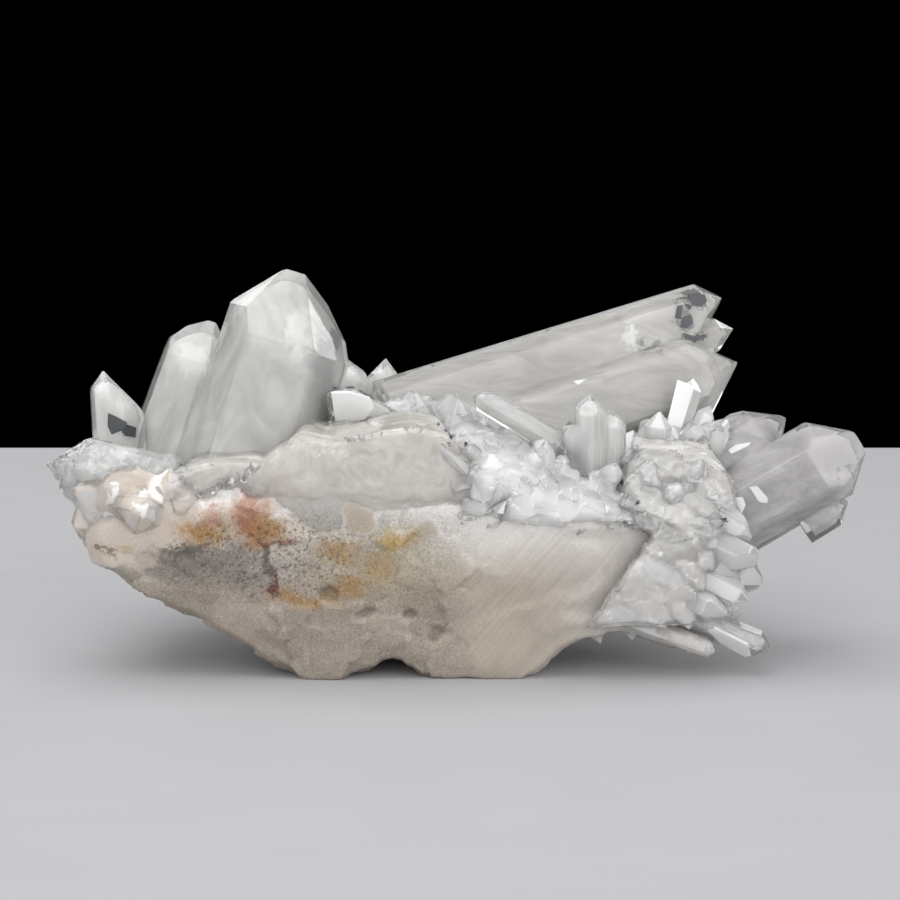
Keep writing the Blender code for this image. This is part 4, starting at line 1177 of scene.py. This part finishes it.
def glass_over_milk(name, shells, step, rounds, flats, skin_material, core_material, inset,
                    slot="clear_quartz", run=None, stands_for="matrix", crisp=False):
    """Hulls melted into one lump of glassy quartz with small flats, and a milky lump inside."""
    size, tilt, rise, wavy, lively = flats
    bm = bmesh.new()
    for corners in shells:
        add_hull(bm, corners)
    bmesh.ops.transform(bm, matrix=TO_SPECIMEN, verts=bm.verts)
    skin = even_skin(bm, step)
    layers = [(0.0, skin_material, ""), (inset, core_material, "_core")]
    if crisp:
        crystal_crust(name, shells, skin_material, CRISP_WEAR, slot)
        layers = layers[1:]
    for inward, material, ending in layers:
        bm = bmesh.new()
        bm.from_mesh(skin)
        softened(bm, rounds + (CORE_ROUNDS if inward else 0))
        tone_flats_with_painted_flashes(bm, size, lively, run)
        moves = []
        for vert in bm.verts:
            push = plates(drawn_out(vert.co, run), size, tilt, rise) + wavy * noise.noise(vert.co / 8.0)
            push += 0.1 * noise.noise(vert.co / 2.0)
            moves.append(vert.normal * (push - inward * (1 + 0.5 * noise.noise(vert.co / 5.0))))
        for vert, move in zip(bm.verts, moves):
            vert.co = place(vert.co + move)
        for face in bm.faces:
            face.smooth = inward > 0
        new_piece(name + ending, bm, material, [stands_for], slot)


# %% Pearly lobes in the middle
BACK_SHARE = 0.8   # the back of a lobe is this much of its front
LOBES = [
    # outline in x and z, front, thickness, how much higher the back is
    ([(-27.6, 55.3), (-25.4, 58.6), (-15.7, 60.3), (-9.9, 61.0), (-3.4, 59.8), (-0.4, 57.4), (0.8, 52.3),
      (0.8, 46.4), (-3.4, 42.9), (-8.8, 42.1), (-18.1, 41.2), (-22.5, 42.9), (-26.3, 44.8), (-27.9, 50.2)],
     -27.6, 24, 3),
    ([(-38.9, 57.2), (-36.1, 59.5), (-29.9, 57.9), (-28.4, 55.4), (-27.9, 50.0), (-26.4, 44.0), (-26.3, 36.5),
      (-31.0, 35.7), (-34.5, 36.7), (-36.8, 40.3), (-40.7, 41.7), (-41.4, 44.5), (-39.7, 52.3)],
     -27.1, 20, 3),
    ([(-50, 49), (-42, 55), (-34, 57), (-24, 58), (-6, 58), (4, 53), (6, 44), (0, 41), (-10, 40), (-24, 39),
      (-40, 42), (-48, 44)], -26.4, 22, 4),
    ([(-68, 44), (-65, 49.5), (-57, 52), (-46, 52.5), (-41, 49), (-41, 44), (-50, 41.5), (-60, 41)],
     -24.8, 16, 3),
]


def laid_slab(outline, front, thick, lift):
    """A broken lump behind an outline on the front, its back face lifted and a little smaller."""
    middle = [sum(axis) / len(outline) for axis in zip(*outline)]
    back = [(middle[0] + (x - middle[0]) * BACK_SHARE, front + thick,
             middle[1] + (z - middle[1]) * BACK_SHARE + lift) for x, z in outline]
    return [(x, front, z) for x, z in outline] + back


lobe_core = milky_core("milky_core_of_the_lobes", EVEN, [
    ((-22, -26, 40), (30, 16, 5), "#D6C9B6", 0.7, 0.8), ((-46, -26, 43), (9, 16, 5), "#DCCBBB", 0.7, 0.8),
], ("#DCD6CF", "#FFFFFB"), 150.0)
glass_over_milk("frosted_lobes", [laid_slab(*lobe) for lobe in LOBES], 0.8, 2, (11.0, 0.08, 0.5, 0.25, 0.25),
                frosted, lobe_core, 1.3, "milky_quartz")

# %% Rippled mass and broken ribs at the right
RIGHT_MASS = [
    [(31, -27, 13), (34.4, -27.6, 18), (42.8, -28.5, 29), (46, -28, 34), (55, -27.3, 36), (62, -22, 35),
     (64, -19, 30), (63, -18, 22), (61, -21, 17), (56, -26.5, 13), (50, -28, 13), (31, -10, 13), (50, 0, 38),
     (63, -2, 36), (63, -2, 20)],
    [(38, -24, 37), (40, -22, 47), (46, -19, 52), (60, -15, 53), (66, -14, 47), (69, -16, 36), (60, -24, 34),
     (48, -25.5, 35), (44, 0, 55), (62, 2, 54), (66, 0, 40), (40, 0, 40)],
]
mass_core = milky_core("milky_core_of_the_right_mass", EVEN, tones=("#D8D6D3", "#FFFFFF"), veil_scale=150.0)
glass_over_milk("right_mass", RIGHT_MASS, 0.7, 1, (4.5, 0.5, 0.6, 0.35, 0.9), rippled, mass_core, 1.1,
                run=RIB_RUN)
crystal_crust("right_ribs", ribs[:7], druse_glass, 0.3)

# %% Knobbly mass at the left
LEFT_KNOBS = [((-84, -20, 39), (7, 7, 8)), ((-74, -22, 42), (9, 8, 8)), ((-65, -22, 42), (7, 6, 7))]
left_core = milky_core("milky_core_of_the_left_mass", EVEN, tones=("#EBE1D8", "#FFFFFF"), veil_scale=130.0)
glass_over_milk("left_mass", lumps_left + [knob(*size) for size in LEFT_KNOBS], 0.7, 1,
                (6.0, 0.4, 0.9, 0.3, 0.65), warm_skin, left_core, 0.5, crisp=True)

# %% The tangle under the druse
SADDLE = [
    # knobs between the base and the crystals: centre and half sizes
    ((-10, 4, 57), (14, 8, 7)), ((3, 2, 55), (11, 9, 7.5)), ((-22, 0, 57), (9, 7, 6)),
    ((16, -2, 50), (11, 10, 7.5)),
    ((29, 0, 45), (11, 9, 8)), ((43, -3, 46), (12, 9, 8)), ((56, -2, 45), (10, 8, 8)),
    ((60, -8, 38), (8, 7, 7)),
    ((5, -17, 44), (9, 8.5, 7.5)), ((16, -17, 43), (9, 8.5, 7)), ((28, -15.5, 37), (9, 8.5, 6)),
    ((40, -14, 37.5), (9, 8, 6)), ((51, -12, 40.5), (9, 8, 7)), ((62, -10, 37), (8, 8, 8)),
    ((58, -18, 34), (8, 7, 7)),
    ((63, -16, 25), (7, 7, 7)), ((52, -19, 24), (9, 7, 7)), ((-54, -18, 44), (8, 7, 5)),
    ((-64, -17, 45), (7, 7, 5)),
]
TANGLE = [
    (1, -27.4, 41), (3, -26, 50), (12, -24, 51), (20, -22, 49), (26, -21, 43), (36, -21, 42), (42, -22, 41),
    (42, -26.2, 38.4), (31, -27.2, 39.6), (21, -27.8, 37.6), (11, -27.8, 39.2),
    (6, -4, 58), (20, -2, 56), (34, 2, 50), (38, 0, 40), (4, 0, 40),
]
saddle = [knob(*size) for size in SADDLE]
glass_over_milk("glassy_mass", saddle + [TANGLE] + sum(druse[:FRONT_PATCHES], []) + stumps[2:], 0.7, 1,
                (5.0, 0.4, 0.7, 0.2, 1.0), druse_skin, plain_core, 0.9)

# %% The sparkling stub at the left
stub_core = milky_core("veiled_core_of_the_left_stub", EVEN, tones=("#BFC0C0", "#FFFFFF"), veil_scale=190.0)
stub_corners = [Vector(vert.co) / MM - BOX_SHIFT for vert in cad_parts["left_stub"].data.vertices]
glass_over_milk("left_stub_faces", [stub_corners, knob((-84, -15.5, 47.2), (11, 8, 8.6), 40)], 0.6, 2,
                (6.0, 0.25, 0.4, 0.3, 0.5), clear_skin, stub_core, 1.7, stands_for="left_stub")

# %% Stumps and nubs with crisp faces
crystal_crust("front_stumps", stumps[4:], druse_glass, 0.3, lively=0.15)
crystal_crust("under_nubs", nubs, druse_glass, 0.9, lively=0.15)

# %% [markdown]
# ## Chips, painted glints and fine druse
#
# What makes a broken edge of quartz sparkle is its chips, most under two millimetres. No
# texture does that well, because each chip shines from its own angle, so they are real
# little shells, strewn along the edges where the photograph shows them. Each is first
# moved to the nearest skin of the base, so that none hangs in the air.

# %% Seats on the skins of the base
SKINS = ("milky_base", "frosted_lobes", "right_mass", "left_mass_core", "glassy_mass")
ground = bmesh.new()
for skin in SKINS:
    ground.from_mesh(bpy.data.objects[skin].data)
ground_tree = BVHTree.FromBMesh(ground)
ground.free()


def seated(centre):
    """The nearest place on the skins of the base."""
    return ground_tree.find_nearest(place(centre))[0] / MM - BOX_SHIFT


print("seats on", len(SKINS), "skins")

# %% Helpers for chips
CHIP_CORNERS, CHIP_WIDTH, CHIP_THICKNESS = 10, (0.3, 0.6), (0.12, 0.3)   # shares of its length


def chip(centre, heading, length, width, thick):
    """A flat broken chip: a leaning box with its corners knocked off."""
    lengthwise = Vector(heading).normalized()
    crosswise = lengthwise.cross(Vector([chance.gauss(0, 1) for _ in range(3)])).normalized()
    flatwise = lengthwise.cross(crosswise)
    corners = []
    for _ in range(CHIP_CORNERS):
        along, across, up = [chance.choice((-0.5, 0.5)) + chance.uniform(-0.15, 0.15) for _ in range(3)]
        corners.append(Vector(centre) + lengthwise * along * length + crosswise * across * width
                       + flatwise * up * thick)
    return corners


def strewn(rows):
    """Chips strewn along lines, leaning any way but down."""
    for start, end, spread, count, size in rows:
        for _ in range(count):
            on_line = Vector(start).lerp(Vector(end), chance.random())
            centre = seated(on_line + Vector([chance.gauss(0, s) for s in spread]))
            heading = (chance.gauss(0, 0.8), chance.gauss(-0.2, 0.5), abs(chance.gauss(0.3, 0.7)))
            length = chance.uniform(*size)
            yield chip(centre, heading, length, length * chance.uniform(*CHIP_WIDTH),
                       length * chance.uniform(*CHIP_THICKNESS))


# %% Chips, painted glints and painted dark glints
SPLINTERS = [
    # from, to, spread, count, shortest and longest
    ((-61, -25.5, 43.5), (-46, -26, 51.5), (0.6, 0.4, 0.5), 34, (0.8, 2.2)),
    ((-26.7, -27.5, 58.5), (-8, -27.5, 61.2), (0.8, 0.5, 0.4), 18, (0.7, 1.8)),
    ((2, -26, 46), (12, -25, 46), (2.2, 0.8, 3), 8, (5, 10)),
    ((12, -24, 45), (30, -23, 42), (3, 0.8, 2.5), 6, (3, 7)),
    ((60, -20, 42), (69, -17, 32), (2, 1, 3), 8, (2, 4)),
    ((0, -26.5, 40), (44, -24.5, 37.5), (1, 0.6, 1.0), 34, (1, 4)),
    ((44, -24.5, 37.5), (68, -19, 31), (1, 0.8, 1.0), 16, (0.8, 3)),
]
# Glints: chips painted white, painted highlights along the edges
PAINTED_GLINT_ROWS = [
    ((2, -26, 44), (34, -24, 43), (2, 1, 3), 22, (0.8, 2.4)),
    ((34, -24, 42), (64, -18, 40), (2, 1, 4), 18, (0.8, 2.2)),
    ((-60, -25.5, 44), (-46, -26, 51), (0.8, 0.4, 0.8), 12, (0.6, 1.6)),
    ((-96, -16, 46), (-76, -20, 52), (2, 1, 2), 10, (0.6, 1.5)),
]
# Dark chips: slivers painted slate grey, painted dark reflections
PAINTED_DARK_GLINT_ROWS = [
    ((38.4, -18.5, 46.8), (42.8, -22.5, 41.0), (0.5, 0.5, 0.6), 12, (0.7, 2.0)),
    ((60.5, -20.4, 35.4), (66.7, -20.2, 38.6), (0.5, 0.4, 0.4), 10, (0.7, 1.8)),
    ((-3, -16, 61.5), (5, -20, 55), (0.6, 0.5, 0.6), 9, (0.7, 2.0)),
]
crystal_crust("splinters", strewn(SPLINTERS), druse_glass, 0.0, lively=0.5)
crystal_crust("painted_glint_chips", strewn(PAINTED_GLINT_ROWS), flash_paint_quartz, 0.0, lively=0.0)
crystal_crust("painted_dark_glint_chips", strewn(PAINTED_DARK_GLINT_ROWS), dark_reflection_paint_quartz, 0.0, lively=0.0)

# %% Fine druse, too small for the solid model, and the druse of the far side
FINE_DRUSE = ((56, 2, 52), (12, 5, 2), (0.4, -0.3, 0.9), 8, (4, 7), (2.4, 4.0))
crystal_crust("fine_druse", scattered(*FINE_DRUSE, seat=seated), druse_glass, 0.0)
crystal_crust("druse_rear", sum(druse[FRONT_PATCHES:], []), druse_glass, 0.2)

# %% [markdown]
# ## Painted flashes and dark reflections
#
# A few faces stand out with painted light: some are painted white flashes, where a lamp would
# be thrown straight back, and others painted dark reflections, where a face would mirror the
# dark background. They are thin plates laid on the faces where they show. Painting them into
# the materials would tie their sharp outlines to the resolution of a texture.

# %% Where they lie
# Outlines of painted flashes: white plates where a face would throw a lamp back
PAINTED_FLASH_OUTLINES = [
    [(-29.5, -11.3, 67.0), (-25.3, -10.7, 67.1), (-20.3, -9.1, 65.5), (-19.4, -7.8, 63.1),
     (-21.7, -6.4, 60.0),
     (-28.7, -6.7, 58.6)],
    [(29.6, 11.5, 67.0), (32.9, 12.2, 67.4), (30.9, 11.4, 66.0)],
    [(4.5, -23.3, 50.2), (8.4, -20.4, 49.2), (11.3, -18.0, 44.9), (10.1, -18.7, 42.2), (6.7, -21.0, 40.7),
     (5.0, -22.6, 45.3)],
    [(2.7, -25.5, 48.0), (3.6, -25.5, 49.2), (5.6, -25.5, 43.4), (4.9, -25.5, 41.0), (3.1, -25.5, 43.6)],
    [(67.0, -0.9, 51.5), (68.7, -0.6, 52.7), (72.7, -0.3, 53.4), (71.9, -0.6, 52.5), (67.7, -1.2, 50.6)],
    [(64.4, -12.6, 41.7), (69.1, -13.2, 42.1), (69.9, -13.3, 40.1), (68.7, -13.3, 37.7), (66.1, -12.9, 38.1)],
    [(70.8, -12.0, 44.3), (72.7, -12.2, 44.6), (75.3, -12.7, 41.7), (75.1, -12.7, 40.5), (73.2, -12.4, 40.7)],
    [(55.4, 9.4, 67.6), (59.6, 9.4, 66.0), (56.2, 6.7, 55.4), (52.6, 6.7, 56.6)],
    [(60.1, -21.8, 11.4), (61.6, -23.2, 12.3), (69.7, -23.5, 8.2), (70.6, -21.2, 5.2), (69.6, -20.0, 4.4),
     (63.5, -20.2, 7.9)],
]
# Outlines of painted dark reflections: dark plates where a face would mirror the dark background
PAINTED_DARK_REFLECTION_OUTLINES = [
    [(-84.0, -4.8, 61.2), (-81.7, -5.3, 60.3), (-79.4, -5.9, 59.1), (-79.9, -6.1, 57.5), (-83.1, -5.6, 56.1),
     (-84.1, -5.2, 58.0)],
    [(-79.5, -5.3, 58.5), (-77.5, -3.1, 57.4), (-77.7, -4.0, 55.1), (-79.7, -6.1, 55.8), (-80.3, -6.5, 57.1)],
    [(59.9, 28.9, 87.2), (62.3, 29.6, 87.6), (64.3, 29.9, 86.9), (64.9, 29.6, 85.5), (63.5, 29.0, 84.1),
     (61.0, 28.4, 84.4)],
    [(58.9, 28.1, 85.0), (61.0, 28.4, 84.4), (60.1, 28.0, 83.3)],
    [(57.0, 27.5, 84.2), (58.5, 28.0, 84.7), (58.0, 27.0, 81.0), (56.4, 26.8, 81.3)],
    [(60.6, 28.0, 82.3), (61.2, 27.6, 80.0), (59.6, 26.9, 78.7), (57.8, 26.6, 79.0), (58.4, 27.2, 81.5)],
    [(58.5, 26.4, 77.6), (61.3, 26.9, 76.6), (61.8, 26.7, 75.1), (59.1, 26.3, 76.2)],
    [(61.3, 26.9, 76.6), (63.4, 27.5, 77.0), (64.6, 27.6, 76.3), (61.8, 26.7, 75.4)],
    [(-31.3, 0, 67.5), (-20.3, -1.5, 65.2), (-20.6, -1.7, 63.9), (-28.2, -0.8, 64.3), (-31.8, 0, 66.3)],
]

# %% Lay the plates and the upright points between them
PLATE_ABOVE, PLATE_BELOW = 0.12, 0.5   # mm above and below the face


def flake(outline):
    """A thin closed plate on a face that looks to the front."""
    corners = [Vector(corner) for corner in outline]
    middle = sum(corners, Vector()) / len(corners)
    turns = [(a - middle).cross(b - middle) for a, b in zip(corners, corners[1:] + corners[:1])]
    out = sum(turns, Vector()).normalized()
    if out.y > 0:
        out = -out
    above = [corner + out * PLATE_ABOVE for corner in corners]
    return above + [corner - out * PLATE_BELOW for corner in corners]


upright_points = [
    corners_of(crystal_planes((60, 13, 68), (53, 8, 48), 5.6, 10, caps=(0, -1, 0.5, 0, 1, 0))),
    corners_of(crystal_planes((64, 12, 61), (58, 8, 48), 4.6, 40)),
    corners_of(crystal_planes((50.5, 2, 61), (49, 2, 48), 6.5, 25)),
]
crystal_crust("upright_points", upright_points, druse_glass, 0.2, lively=0.0)
# White plates are painted flashes, dark plates painted dark reflections
crystal_crust("painted_flash_plates", [flake(outline) for outline in PAINTED_FLASH_OUTLINES], flash_paint_quartz, 0.0, lively=0.0)
crystal_crust("painted_dark_reflection_plates", [flake(outline) for outline in PAINTED_DARK_REFLECTION_OUTLINES], dark_reflection_paint_quartz, 0.0, lively=0.0)
